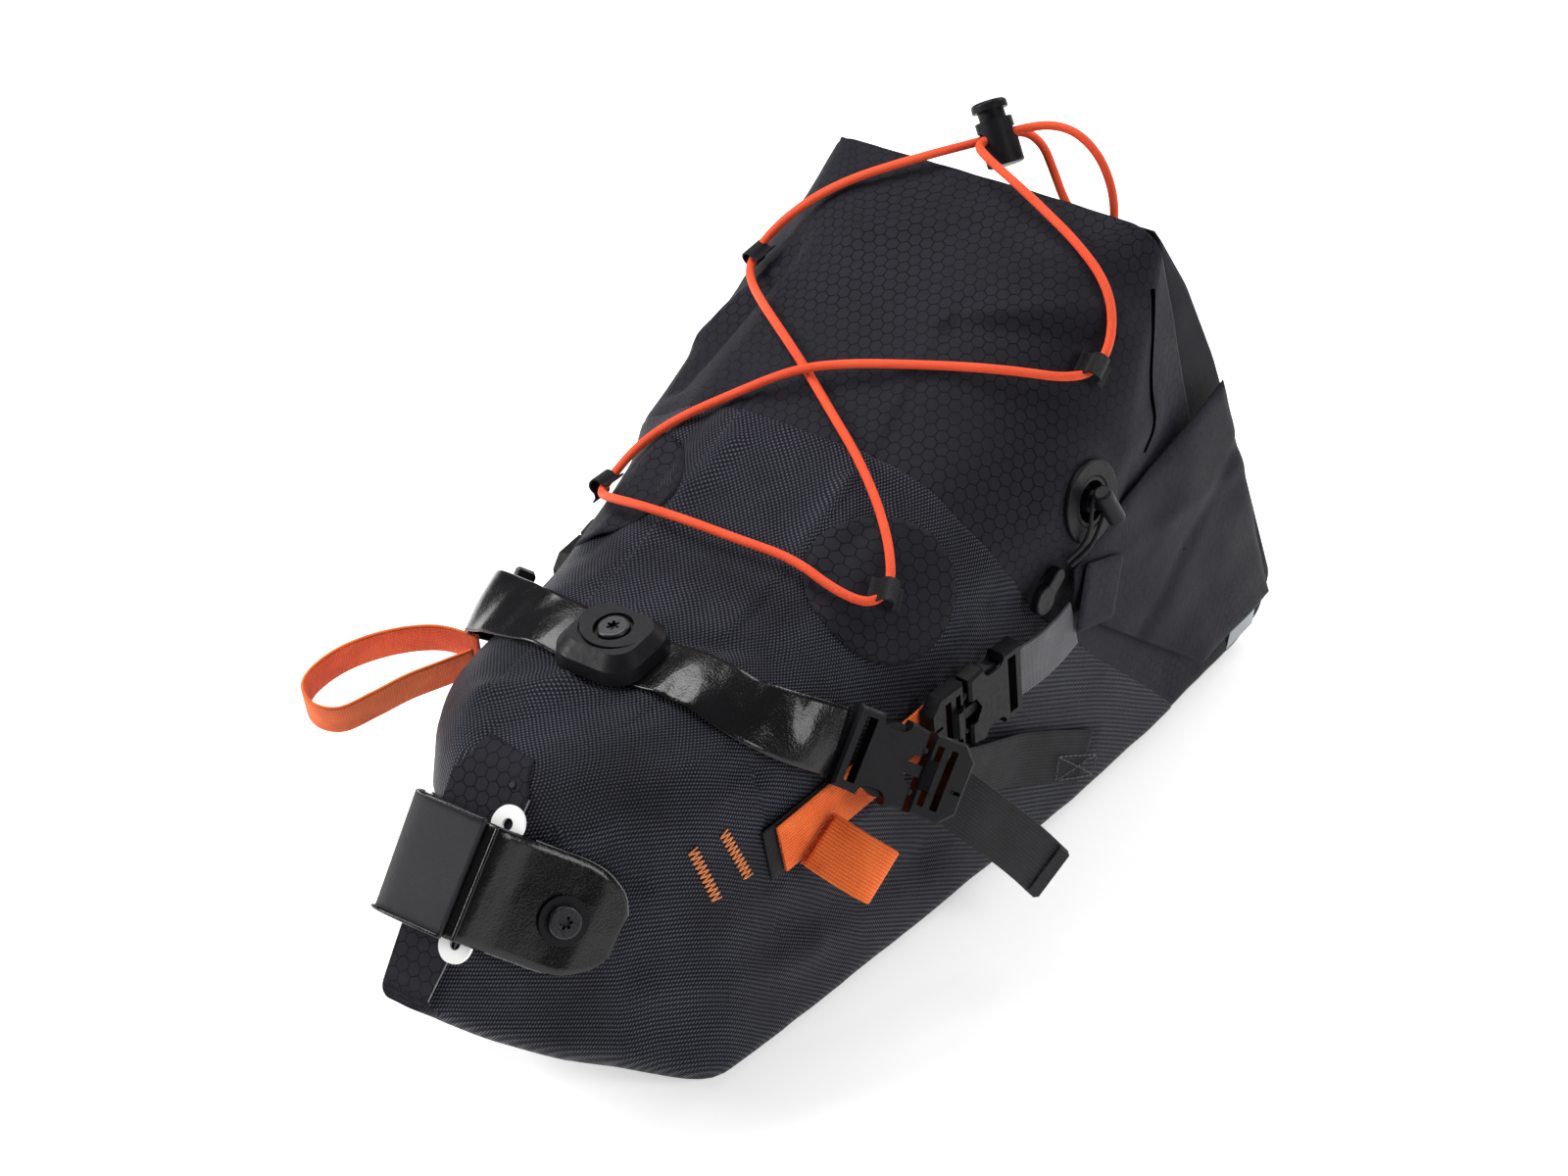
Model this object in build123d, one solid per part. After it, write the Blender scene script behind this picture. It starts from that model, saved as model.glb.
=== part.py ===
from build123d import *
import os
from math import cos, pi, radians, sin, tan

# Seat pack: a roll-top bicycle bag that hangs behind the saddle, standing here on its flat underside.
# Millimetres. +Z is up, -Y is the nose towards the seatpost, +X is the rider's left.
# The origin is the middle of the underside.

os.makedirs("parts", exist_ok=True)

# Fabric and webbing
WALL = 1.6
CLEAR = 0.3
WEBBING = 25.0
WEBBING_THICK = 1.5
RAIL_STRAP = 30.0
RAIL_STRAP_THICK = 1.6
POST_STRAP = 49.0
POST_STRAP_THICK = 2.2
BUNGEE = 4.0

# Stations along the bag from the nose to the mouth. Each is a rounded four-sided section:
# (top y, top z, bottom y, bottom z, half width at top, half width at bottom, top radius, bottom radius)
STATIONS = [
    (-218, 160, -290, 84, 20, 12, 7, 6),
    (-207, 163, -262, 54, 38, 28, 17, 10),
    (-192, 164, -222, 22, 57, 50, 28, 13),
    (-164, 165, -182, 0, 73, 76, 40, 14),
    (-100, 172, -100, 0, 85, 82, 50, 14),
    (-20, 200, -20, 0, 96, 87, 58, 14),
    (60, 236, 75, 0, 102, 91, 70, 14),
    (126, 261, 182, 0, 89, 88, 16, 12),
]

# The woven lower panel meets the ripstop tube on this plane.
PANEL_PLANE = Plane(origin=(0, -12, 205), z_dir=(0, 185, 130))

# The roll closure folds down behind the mouth, seen from the side as (y, z).
ROLL = [(128, 260), (150, 224), (172, 175), (200, 95), (222, 26), (212, 9), (190, 3), (182.4, 3)]
ROLL_HALF = 86.5
ROLL_WALL = 3.0
EAR = [(169, 166), (214, 24), (148, 24), (72, 88), (33, 122), (33, 144.5), (80, 155), (110, 157)]
EAR_THICK = 4.0
EAR_PLANE = Plane(origin=(99.6, 60, 0), x_dir=(-0.072, 1, 0), z_dir=(1, 0.072, 0))

# The nose face and the direction of the seatpost beside it
POST_AXIS = Vector(0, 0.688, 0.726)
NOSE_NORMAL = Vector(0, -0.726, 0.688)
NOSE_MIDDLE = Vector(0, -251.4, 124.7)

# Side-release buckles for 25 mm webbing
BUCKLE_LENGTH = 57.0
BUCKLE_HALF = 17.5
BUCKLE_THICK = 9.0
LATCH_ROOT = (34.5, 9.0)
RAIL_BUCKLE = Plane(origin=(89, -111, 137), x_dir=(0.60, 0.59, -0.54), z_dir=(0.80, -0.443, 0.405))
CLOSURE_BUCKLE = Plane(origin=(104.4, -12, 118.5), x_dir=(-0.08, -0.995, -0.02), z_dir=(0.997, -0.08, 0))

# Cord lock
LOCK_BASE = Vector(1, 138, 262.5)
LOCK_AXIS = Vector(-0.52, 0.29, 0.80).normalized()
LOCK_RADIUS = 8.5
LOCK_HOLE = Vector(0.66, 0.72, 0.17).normalized()
LOCK_TRAVEL = 4.0

# Air valve on the left side
VALVE = Plane(origin=(99.8, 52, 168), x_dir=(0, 1, 0), z_dir=(0.99, 0, 0.12))
VALVE_RADIUS = 18.5

# The bungee's route: knot, short tail, cord lock, round the four loops, cord lock, long tail, knot.
BUNGEE_ROUTE = [
    (31, 162, 217), (27, 157, 229), (21, 153, 243), (14, 155, 256), (8, 156, 267), (1, 152, 273.5),
    (-7.2, 143.3, 272), (-15.5, 134.5, 270), (-27, 125, 267), (-42, 114, 262), (-57, 102, 256.5),
    (-71, 92, 248), (-83, 84, 237), (-90, 76, 227), (-89.5, 65, 220.5), (-80, 54, 220.5),
    (-62.7, 39.4, 222.9), (-40.1, 23.8, 223.5), (-17.2, 11, 218.3), (10, -5, 210.5),
    (33, -19, 205), (54, -34, 197), (68, -46, 187), (76, -57, 177), (73, -68, 174), (60, -74, 180),
    (38, -73, 187.5), (10, -74, 187.5), (-18, -74, 187.5), (-44, -74, 186), (-64, -70, 180.5),
    (-76.5, -62, 174), (-79.5, -50, 175), (-75, -36, 185), (-63, -23, 195.5), (-43, -10, 207),
    (-18, 4, 221), (2, 15, 224.5), (26, 26, 226), (51.3, 36.4, 227.4), (69.6, 49.1, 224.2),
    (82.1, 61.7, 218.6), (89, 74, 217), (90, 85, 224), (86, 94, 237), (77, 99, 249),
    (59, 105, 258), (41, 111, 263), (25, 116.5, 267), (12, 120.5, 270), (0, 124, 273),
    (-9, 130, 273.5), (-4.8, 140.5, 274.6), (4, 150, 276.5), (14, 156, 278), (25, 159, 275.5),
    (35, 160, 267), (41, 160, 255), (43, 160, 242), (41, 161, 230), (37, 163, 218),
]
BUNGEE_KNOT = Vector(34, 164, 209.5)

# The valve's cord: from the grip, round the knob's stem and back to the grip.
VALVE_CORD = 2.0
VALVE_ROUTE = [
    (102.6, 31, 149.8), (104.8, 36, 152.5), (106.1, 41, 156), (105.8, 45, 161), (105, 46.9, 167),
    (104.8, 49.3, 173.8), (104.8, 55, 173.8), (104.9, 57.6, 167.5), (105.7, 54, 160.3), (106.6, 47.5, 154),
    (105.8, 40, 149.5), (103.4, 33, 146.8),
]


def export(name, shape):
    export_step(shape, f"parts/{name}.step")


def export_both(name, left):
    """Write the left piece and its mirror image as one node of two solids."""
    export(name, Compound([left, mirror(left, about=Plane.YZ)]))


def export_pair(name, left):
    """Write the left piece and its mirror image on the right."""
    export(f"{name}_left", left)
    export(f"{name}_right", mirror(left, about=Plane.YZ))


# ---- The bag ----

def section(station, grow):
    top_y, top_z, bottom_y, bottom_z, half_top, half_bottom, top_radius, bottom_radius = station
    top = Vector(0, top_y, top_z)
    bottom = Vector(0, bottom_y, bottom_z)
    up = (top - bottom).normalized()
    half = (top - bottom).length / 2 + grow
    plane = Plane(origin=(top + bottom) * 0.5, x_dir=(1, 0, 0), z_dir=Vector(1, 0, 0).cross(up))
    outline = Polyline(
        (-half_top - grow, half),
        (half_top + grow, half),
        (half_bottom + grow, -half),
        (-half_bottom - grow, -half),
        close=True,
    )
    face = make_face(outline)
    face = fillet(face.vertices().sort_by(Axis.Y)[2:], top_radius + grow)
    face = fillet(face.vertices().sort_by(Axis.Y)[:2], bottom_radius + grow)
    return plane * face


def hull(grow=0.0):
    """The bag's outer form, grown outwards or shrunk inwards."""
    first, second = STATIONS[0], STATIONS[1]
    share = 0.2 if grow < 0 else 0.0
    nose = tuple(a + (b - a) * share for a, b in zip(first, second))
    return loft([section(s, grow) for s in [nose, *STATIONS[1:]]], ruled=True)


def skin(inside, outside):
    """A conforming layer between two grown forms."""
    return hull(outside) - hull(inside)


def bag_shells():
    valve_hole = VALVE.location * extrude(Circle(11.5), 20, both=True)
    shell = outer_form - hull(-WALL) - clamp_hole - valve_hole - tongue_holes
    export("front_shell", split(shell, bisect_by=PANEL_PLANE, keep=Keep.BOTTOM))
    export("rear_tube", split(shell, bisect_by=PANEL_PLANE, keep=Keep.TOP))


def stiffeners():
    board = Pos(0, -10, WALL + 0.2) * extrude(RectangleRounded(128, 270, 20), 2.5)
    export("underside_board", board)
    brace = skin(-WALL - 2.6, -WALL - 0.2) & Pos(0, -225, 110) * Box(110, 70, 110) - tongue_holes
    export("nose_brace", brace.solids().sort_by(SortBy.VOLUME)[-1])


def roll_closure():
    outline = make_face(Plane.YZ * Polyline(*ROLL, close=True))
    body = extrude(outline, ROLL_HALF, both=True)
    body = fillet(body.edges().filter_by(Axis.X).sort_by(Axis.Z)[1:3], 3)
    inside = Plane.YZ * offset(make_face(Polyline(*ROLL, close=True)), -ROLL_WALL)
    pocket = extrude(inside, ROLL_HALF + 1, both=True)
    export("roll_closure", body - pocket)
    bar = Plane.YZ * Pos(205, 26) * Rot(0, 0, -72) * Rectangle(26, 3)
    export("roll_stiffener", extrude(bar, 84, both=True))
    ear_outline = Polyline(*[(y - 60, z) for y, z in EAR], close=True)
    ear = extrude(EAR_PLANE * make_face(ear_outline), EAR_THICK)
    export_pair("closure_ear", ear)
    rear_face = Plane(origin=(0, 214.3, 60), x_dir=(1, 0, 0), z_dir=(0, 0.953, 0.303))
    export("rear_reflector", extrude(rear_face * RectangleRounded(120, 26, 4), 0.8))


def corner_radii(points, largest=1000.0):
    """One radius for each corner: 0.45 of the shorter run over the tangent of half the turn."""
    radii = []
    for before, corner, after in zip(points, points[1:], points[2:]):
        first = Vector(*corner) - Vector(*before)
        second = Vector(*after) - Vector(*corner)
        turn = radians(first.get_angle(second))
        radii.append(min(0.45 * min(first.length, second.length) / tan(turn / 2), largest))
    return radii


def tube(name, points, diameter):
    """A cord's plain tube along straight runs joined by tangent arcs."""
    radii = corner_radii(points)
    path = FilletPolyline(*points, radius=radii)
    start = Plane(origin=path @ 0, z_dir=path % 0)
    cord = sweep(start * Circle(diameter / 2), path=path)
    expected = pi * diameter**2 / 4 * path.length
    print(name, "length", round(path.length, 1), "volume ratio", round(cord.volume / expected, 4))
    print(name, "radii", [round(r, 1) for r in radii])
    runs = [(Vector(*b) - Vector(*a)).length for a, b in zip(points, points[1:])]
    print(name, "runs", [round(r, 1) for r in runs])
    return cord


# ---- Webbing ----

def ribbon(stations, width, thickness):
    """Flat webbing through stations of (middle, direction across) or (middle, across, its own width)."""
    faces = []
    last = len(stations) - 1
    for index, station in enumerate(stations):
        middle = Vector(*station[0])
        before = Vector(*stations[max(index - 1, 0)][0])
        after = Vector(*stations[min(index + 1, last)][0])
        along = (after - before).normalized()
        across = Vector(*station[1])
        across = (across - along * across.dot(along)).normalized()
        own_width = station[2] if len(station) > 2 else width
        faces.append(Plane(origin=middle, x_dir=across, z_dir=along) * Rectangle(own_width, thickness))
    return loft(faces, ruled=True)


def mirrored_stations(stations):
    """The same stations on the other side, in reverse order."""
    return [((-p[0], p[1], p[2]), (-a[0], a[1], a[2])) for p, a in reversed(stations)]


ALONG_BAG = (0, 0.994, 0.109)
BUCKLE_ACROSS = (0, 0.675, 0.738)
RAIL_STRAP_HALF = [
    ((0, -144, 169.0), ALONG_BAG),
    ((20, -144, 169.2), ALONG_BAG),
    ((34, -143.5, 170.2), ALONG_BAG),
    ((50, -142.5, 168.2), (-0.05, 0.98, 0.15)),
    ((66, -139, 160.6), (-0.2, 0.93, 0.3)),
    ((78.5, -127.5, 150), (-0.15, 0.8, 0.57)),
    ((88.2, -112.2, 137.6), BUCKLE_ACROSS),
]
RAIL_WEBBING_FIXED = [
    ((94.6, 52, 30), (0, 0.55, 0.83)),
    ((94.6, 25, 46.5), (0, 0.55, 0.83)),
    ((95.4, 0, 61), (0, 0.55, 0.83)),
    ((101.5, -28, 77), (0, 0.58, 0.81)),
    ((107.5, -56, 93), (0, 0.62, 0.78)),
    ((109.5, -72, 103), BUCKLE_ACROSS),
    ((110.3, -80, 107.6), BUCKLE_ACROSS),
]
RAIL_WEBBING_TAIL = [
    ((110.5, -80.5, 107.5), BUCKLE_ACROSS),
    ((118, -77, 100), BUCKLE_ACROSS),
    ((125, -66, 84), (0.1, 0.75, 0.65)),
    ((130, -46, 57), (0.15, 0.78, 0.61)),
    ((131, -28, 32), (0.2, 0.78, 0.6)),
]
RAIL_TAIL_FOLD = [
    ((130.6, -34.5, 41), (0.2, 0.78, 0.6)),
    ((131, -28, 32), (0.2, 0.78, 0.6)),
]
CLOSURE_WEBBING = [
    ((81.4, -146, 101.5), (0, 0, 1)),
    ((86, -112, 106.5), (0, 0, 1)),
    ((90, -88, 111), (0, 0, 1)),
    ((94.4, -70, 116), (0, 0, 1)),
    ((95.4, -58, 118), (0, 0, 1)),
]
BASE_WEBBING = [
    ((78.6, -152, 100.5), (0, 0, 1)),
    ((84.2, -112, 105.5), (0, 0, 1)),
]
CLOSURE_STRAP = [
    ((104.6, -9.8, 117), (0, 0, 1)),
    ((105.2, 4, 116), (0, 0, 1)),
    ((105.2, 18, 116.5), (0, 0, 1)),
    ((105, 31, 119), (0, 0.1, 1)),
]
PULL_OUT = Vector(0.80, 0.30, -0.52)
PULL_ACROSS = Vector(-0.10, -0.80, -0.60)
PULL_BASE = Vector(87, -129, 99)
PULL_LOOP = [(0, -2), (11, -3.5), (22, -5), (29, -4.4), (31.5, -1.4), (29, 2), (21, 3.6), (10, 3), (1, 1)]
RIGHT_LOOP_BASE = Vector(-92, -131, 124)
RIGHT_LOOP_OUT = Vector(-0.79, -0.61, 0.06)
RIGHT_LOOP_ACROSS = Vector(0.35, -0.37, 0.86)
RIGHT_LOOP = [
    (0, -3), (18, -8), (38, -6), (57, 1), (70, 11), (74, 20),
    (69, 28), (58, 30), (44, 23), (30, 15), (16, 9), (2, 3),
]


def strip(points, thickness):
    """A flat band seen from its edge: the outline of a line of points given a thickness."""
    left = []
    right = []
    last = len(points) - 1
    for index, point in enumerate(points):
        before = Vector(*points[max(index - 1, 0)])
        after = Vector(*points[min(index + 1, last)])
        side = (after - before).normalized().rotate(Axis.Z, 90) * (thickness / 2)
        left.append(Vector(*point) + side)
        right.append(Vector(*point) - side)
    return make_face(Polyline(*left, *reversed(right), close=True))


def webbing_loop(base, out, across, outline):
    """A pull loop: its edge-on outline in (out, lift), as wide as the webbing."""
    across = (across - out.normalized() * across.dot(out.normalized())).normalized()
    place = Plane(origin=base, x_dir=out, z_dir=across)
    return extrude(place * strip(outline, WEBBING_THICK), WEBBING / 2, both=True)


def rail_strap():
    stations = mirrored_stations(RAIL_STRAP_HALF)[:-1] + RAIL_STRAP_HALF
    export("rail_strap", ribbon(stations, RAIL_STRAP, RAIL_STRAP_THICK) - clamp_hole)


def side_webbing():
    fixed = ribbon(RAIL_WEBBING_FIXED, WEBBING, WEBBING_THICK)
    tail = ribbon(RAIL_WEBBING_TAIL, WEBBING, WEBBING_THICK)
    fold = ribbon(RAIL_TAIL_FOLD, WEBBING, 3 * WEBBING_THICK)
    export_pair("rail_webbing", fixed + tail + fold)
    export_both("base_webbing", ribbon(BASE_WEBBING, WEBBING + 2, 1.0))
    export_pair("closure_webbing", ribbon(CLOSURE_WEBBING, WEBBING, WEBBING_THICK))
    export_both("closure_straps", ribbon(CLOSURE_STRAP, WEBBING, WEBBING_THICK))
    export("pull_loop_left", webbing_loop(PULL_BASE, PULL_OUT, PULL_ACROSS, PULL_LOOP))
    export("pull_loop_right", webbing_loop(RIGHT_LOOP_BASE, RIGHT_LOOP_OUT, RIGHT_LOOP_ACROSS, RIGHT_LOOP))


def patches():
    layer = skin(CLEAR, CLEAR + 0.8)
    left_only = Pos(250, 0, 100) * Box(500, 800, 400)
    aim = Plane(origin=(71, -54, 173), z_dir=(0.78, -0.22, 0.58))
    disc = extrude(aim * Circle(31.5), 25, both=True)
    export_both("loop_patches", largest(layer & disc))
    anchor = Polyline((20, 64), (84, 26), (86, 14), (12, 14), close=True)
    anchor = extrude(Plane.YZ * make_face(anchor), 200)
    export_both("anchor_patches", largest(layer & anchor & left_only))
    band = Polyline((-66, 22), (-36, 22), (-16, 1.5), (-46, 1.5), close=True)
    band = extrude(Plane.YZ * make_face(band), 200)
    export_both("lower_bands", largest(skin(CLEAR, CLEAR + 1.6) & band & left_only))
    face = Plane(origin=NOSE_MIDDLE + NOSE_NORMAL * 0.2, x_dir=(1, 0, 0), z_dir=NOSE_NORMAL)
    export("nose_patch", extrude(face * Pos(0, 2) * RectangleRounded(24, 98, 3), 0.9))


def largest(shape):
    return shape.solids().sort_by(SortBy.VOLUME)[-1]


# ---- Clamp block on the rail strap ----

CLAMP = Plane(origin=(0, -146, 167.0), x_dir=(1, 0, 0), z_dir=(0, -0.109, 0.994))
CLAMP_SCREW_Y = 3.0
SCREW_RADIUS = 2.5


def screw(head_radius, head_height, length):
    """A pan-head screw whose head stands on z = 0, with a six-point star socket."""
    head = extrude(Circle(head_radius), head_height)
    head = fillet(head.edges().group_by(Axis.Z)[-1], head_height * 0.4)
    star = Circle(head_radius * 0.22)
    for turn in (0, 60, 120):
        star = star + Rot(0, 0, turn) * SlotOverall(head_radius * 0.84, head_radius * 0.2)
    socket = Pos(0, 0, head_height * 0.35) * extrude(star, head_height)
    shank = Pos(0, 0, -length) * extrude(Circle(SCREW_RADIUS), length)
    return head - socket + shank


def clamp_block():
    low = Pos(0, 0, 3.2) * RectangleRounded(43, 38, 12)
    middle = Pos(0, 0.5, 9) * RectangleRounded(42, 36, 12)
    high = Pos(0, 1.5, 14) * RectangleRounded(33, 27, 9)
    cap = loft([low, middle, high], ruled=True)
    crescent = Pos(0, 5) * Circle(16) - Pos(0, 7.6) * Circle(17)
    cap = cap - Pos(0, 0, 12.4) * extrude(crescent, 4)
    cap = cap - Pos(0, CLAMP_SCREW_Y, 11.5) * extrude(Circle(8.6), 5)
    cap = cap - Pos(0, CLAMP_SCREW_Y, 0) * extrude(Circle(SCREW_RADIUS + 0.1), 20)
    export("clamp_cap", CLAMP.location * cap)
    base = Pos(0, 0, -5.2) * extrude(RectangleRounded(46, 38, 6), 3)
    nut = Pos(0, CLAMP_SCREW_Y, -9.4) * extrude(RegularPolygon(4.6, 6), 4)
    hole = Pos(0, CLAMP_SCREW_Y, -12) * extrude(Circle(SCREW_RADIUS + 0.1), 20)
    export("clamp_base", CLAMP.location * (base - hole))
    export("clamp_nut", CLAMP.location * (nut - hole))
    export("clamp_screw", CLAMP.location * (Pos(0, CLAMP_SCREW_Y, 11.6) * screw(7, 3, 21)))


# ---- Side-release buckles ----

def buckle_socket():
    half = BUCKLE_HALF
    outline = make_face(Polyline(
        (0, -half), (0, half), (10, half), (13, half + 0.8), (25, half + 0.8), (33.6, half - 0.6),
        (33.6, -half + 0.6), (25, -half - 0.8), (13, -half - 0.8), (10, -half), close=True,
    ))
    body = extrude(outline, BUCKLE_THICK / 2, both=True)
    body = chamfer(body.edges().group_by(Axis.Z)[-1], 1.2)
    body = chamfer(body.edges().group_by(Axis.Z)[0], 1.2)
    slot = Pos(6.6, 0, 0) * Box(5.2, 28, 20)
    cavity = Pos(23.5, 0, 0) * Box(24, 27.2, 5.8)
    windows = [Pos(18, side * 17, 0) * extrude(SlotOverall(13, 8.4), 5, both=True) for side in (-1, 1)]
    openings = [Pos(18.2, side * 15, 0) * Box(11.6, 12, 5.8) for side in (-1, 1)]
    notch = Pos(33.6, 0, 0) * extrude(RegularPolygon(7, 6), 10, both=True)
    return body - slot - cavity - windows - openings - notch


def buckle_plug():
    half = BUCKLE_HALF
    plate = Polyline(
        (36.2, -half), (36.2, half), (51, half), (57, half - 6), (57, -half + 6), (51, -half), close=True,
    )
    body = extrude(make_face(plate), 3.4, both=True)
    body = chamfer(body.edges().group_by(Axis.Z)[-1], 1.0)
    body = body - Pos(40.2, 0, 0) * Box(3.0, 26, 20) - Pos(46.5, 0, -2) * Box(3.6, 26, 12)
    body = body - Pos(53, -3, 0) * extrude(SlotOverall(5, 1.6), 10, both=True)
    guide = Pos(24.5, 0, 0) * Box(24, 5, 4.2)
    rib = Polyline((36.4, 3.3), (44.6, 3.3), (43.4, 6.2), (40.6, 6.2), close=True)
    return body + guide + extrude(Plane.XZ * make_face(rib), 6.5, both=True)


def buckle_latch():
    """The latch arm on the +Y side. It turns about its root."""
    root_x, root_y = LATCH_ROOT
    outline = make_face(Polyline(
        (root_x, root_y - 1.2), (root_x, root_y + 1.2), (23, 11.6), (22.6, 15.4), (20, 16.2),
        (14.6, 14), (13.2, 10.2), (16, 8.6), (24, 8.8), close=True,
    ))
    arm = extrude(outline, 2.4, both=True)
    hinge = extrude(Pos(root_x, root_y) * Circle(1.2), 2.4, both=True)
    return arm + hinge


def buckles():
    latch = buckle_latch()
    pieces = {
        "socket": buckle_socket(),
        "plug": buckle_plug(),
        "latch_upper": latch,
        "latch_lower": mirror(latch, about=Plane.XZ),
    }
    for family, place in (("rail", RAIL_BUCKLE), ("closure", CLOSURE_BUCKLE)):
        for name, piece in pieces.items():
            export_pair(f"{family}_{name}", place.location * piece)


# ---- Cuffs that hold the ears forward ----

def cuffs():
    sleeve = Rot(0, 0, -20) * extrude(RectangleRounded(34, 34, 3), 2.4)
    export_both("closure_cuffs", EAR_PLANE.location * Pos(50 - 60, 124, EAR_THICK + 0.3) * sleeve)


# ---- Seatpost strap on the nose ----

def nose_point(across, out, along=0.0):
    return NOSE_MIDDLE + Vector(across, 0, 0) + NOSE_NORMAL * out + POST_AXIS * along


POST_STRAP_PATH = [
    (53.6, -45, 20), (51.1, -40.5, 34), (46.1, -32, 45), (40.1, -24.5, 49), (33, -14, 49),
    (26.4, -4, 49), (22.8, 3, 49), (19.5, 8.5, 49), (14.5, 10.8, 49), (2, 11.4, 49),
    (-10, 11.4, 49), (-17, 10.4, 49), (-21.4, 7.4, 49), (-22.8, 3, 49), (-25.4, -3.4, 49),
    (-33, -14, 49), (-40.1, -24.5, 49), (-46.1, -32, 45), (-51.1, -40.5, 34), (-53.6, -45, 20),
]
PAD_PATH = [(14, 13.3, 51), (2, 14, 51), (-11, 13.9, 51), (-18.4, 12.7, 51), (-24, 8.9, 51), (-25.6, 3, 51)]
TONGUE_SCREW = (39.8, -24.1, -1.5)
TONGUE_NORMAL = (0.805, 0.593)
TONGUE_FLARE = 0.09
NOSE_WASHERS = [(16.6, 26), (14.8, -25.5)]


def tongue_plane(side):
    """On the outer face of a tongue, at its screw."""
    across, out = TONGUE_SCREW[0] * side, TONGUE_SCREW[1]
    along = POST_AXIS + Vector(TONGUE_FLARE * side, 0, 0)
    normal = Vector(TONGUE_NORMAL[0] * side, 0, 0) + NOSE_NORMAL * TONGUE_NORMAL[1]
    normal = normal - along * (normal.dot(along) / along.dot(along))
    return Plane(origin=nose_point(across, out, TONGUE_SCREW[2]), x_dir=along, z_dir=normal)


def tongue_hole(side):
    return tongue_plane(side).location * Pos(0, 0, -18) * extrude(Circle(SCREW_RADIUS + 0.2), 24)


def post_stations(path):
    """Webbing stations round the post. The tongues follow the nose, which widens upwards."""
    stations = []
    for across, out, width in path:
        flare = TONGUE_FLARE * max(min(across / 40, 1), -1)
        stations.append((tuple(nose_point(across, out)), (flare, POST_AXIS.Y, POST_AXIS.Z), width))
    return stations


def seatpost_strap():
    strap = ribbon(post_stations(POST_STRAP_PATH), POST_STRAP, POST_STRAP_THICK)
    pad = ribbon(post_stations(PAD_PATH), POST_STRAP, 2.2)
    screws = []
    washers = []
    for side in (1, -1):
        place = tongue_plane(side)
        strap = strap - tongue_hole(side)
        washer = extrude(Circle(10.5) - Circle(SCREW_RADIUS + 0.1), 1.4)
        washers.append(place.location * (Pos(0, 0, 1.8) * washer))
        screws.append(place.location * (Pos(0, 0, 3.25) * screw(7, 2.6, 12)))
    export("seatpost_strap", strap)
    export("seatpost_pad", pad)
    export("tongue_washers", Compound(washers))
    export("tongue_screws", Compound(screws))
    face = Plane(origin=NOSE_MIDDLE, x_dir=(1, 0, 0), z_dir=NOSE_NORMAL)
    ring = Pos(0, 0, 1.3) * extrude(Circle(8) - Circle(2.6), 1.5)
    room = ribbon(post_stations(POST_STRAP_PATH), POST_STRAP, POST_STRAP_THICK + 0.6)
    discs = [largest(face.location * Pos(*spot) * ring - room) for spot in NOSE_WASHERS]
    export("nose_washers", Compound(discs))


# ---- Bungee, its loops and its lock ----

# Each loop's middle, the way the cord runs through it, and the way out of the bag
LOOP_SPOTS = [
    ((-90.2, 71, 223.8), (0.1, 1, 0.2), (-0.75, -0.2, 0.6)),
    ((90.4, 74.5, 219.9), (-0.14, 0.9, 0.42), (0.74, -0.2, 0.6)),
    ((-79.6, -56, 175.2), (-0.1, 1, -0.1), (-0.75, -0.25, 0.6)),
    ((77, -60, 177.4), (0.35, -0.9, -0.5), (0.7, -0.25, 0.65)),
]


def bungee_loops(cord_way):
    loops = []
    for middle, along, out in LOOP_SPOTS:
        along = Vector(*along).normalized()
        out = Vector(*out)
        out = (out - along * out.dot(along)).normalized()
        place = Plane(origin=middle, x_dir=out.cross(along), z_dir=along)
        barrel = extrude(Circle(4.6) - Circle(3.3), 4.5, both=True)
        foot = Pos(0, -4.0, 0) * Box(13, 1.2, 9) - extrude(Circle(3.3), 10, both=True)
        loops.append(largest(place.location * (barrel + foot) - cord_way))
    export("bungee_loops", Compound(loops))


def cord_lock(cord_way):
    place = Plane(origin=LOCK_BASE, x_dir=LOCK_HOLE, z_dir=LOCK_AXIS)
    across = Plane(origin=(0, 0, 13.5), x_dir=(0, 1, 0), z_dir=(1, 0, 0))
    cord_hole = extrude(across * SlotOverall(10.6, 5.4), 20, both=True)
    barrel = extrude(Circle(LOCK_RADIUS), 20.5)
    barrel = fillet(barrel.edges().group_by(Axis.Z)[0], 1.2)
    barrel = barrel - Pos(0, 0, 3) * extrude(Circle(6.4), 20) - cord_hole
    export("cord_lock_barrel", largest(place.location * barrel - cord_way))
    plunger = Pos(0, 0, 9) * extrude(Circle(6.1), 16)
    head = Pos(0, 0, 25) * extrude(Circle(8.2), 4.2)
    head = fillet(head.edges().group_by(Axis.Z)[-1], 2)
    opening = Pos(0, LOCK_TRAVEL / 2) * RectangleRounded(11.6, 6.6 + LOCK_TRAVEL, 2.6)
    way = extrude(across * opening, 20, both=True)
    export("cord_lock_button", place.location * (plunger + head - way))
    wire = Helix(pitch=1.9, height=4.8, radius=4.8)
    coil = sweep(Plane(origin=wire @ 0, z_dir=wire % 0) * Circle(0.45), path=wire, is_frenet=True)
    export("cord_lock_spring", place.location * Pos(0, 0, 3.5) * coil)


def bungee():
    export("bungee_cord", tube("bungee", BUNGEE_ROUTE, BUNGEE))
    cord_way = tube("room for the bungee", BUNGEE_ROUTE, BUNGEE + 2 * CLEAR)
    bungee_loops(cord_way)
    cord_lock(cord_way)
    knot = Sphere(5.6) & Box(12, 9, 12)
    export("bungee_knot", Pos(*BUNGEE_KNOT) * knot)


# ---- Air valve ----

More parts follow.
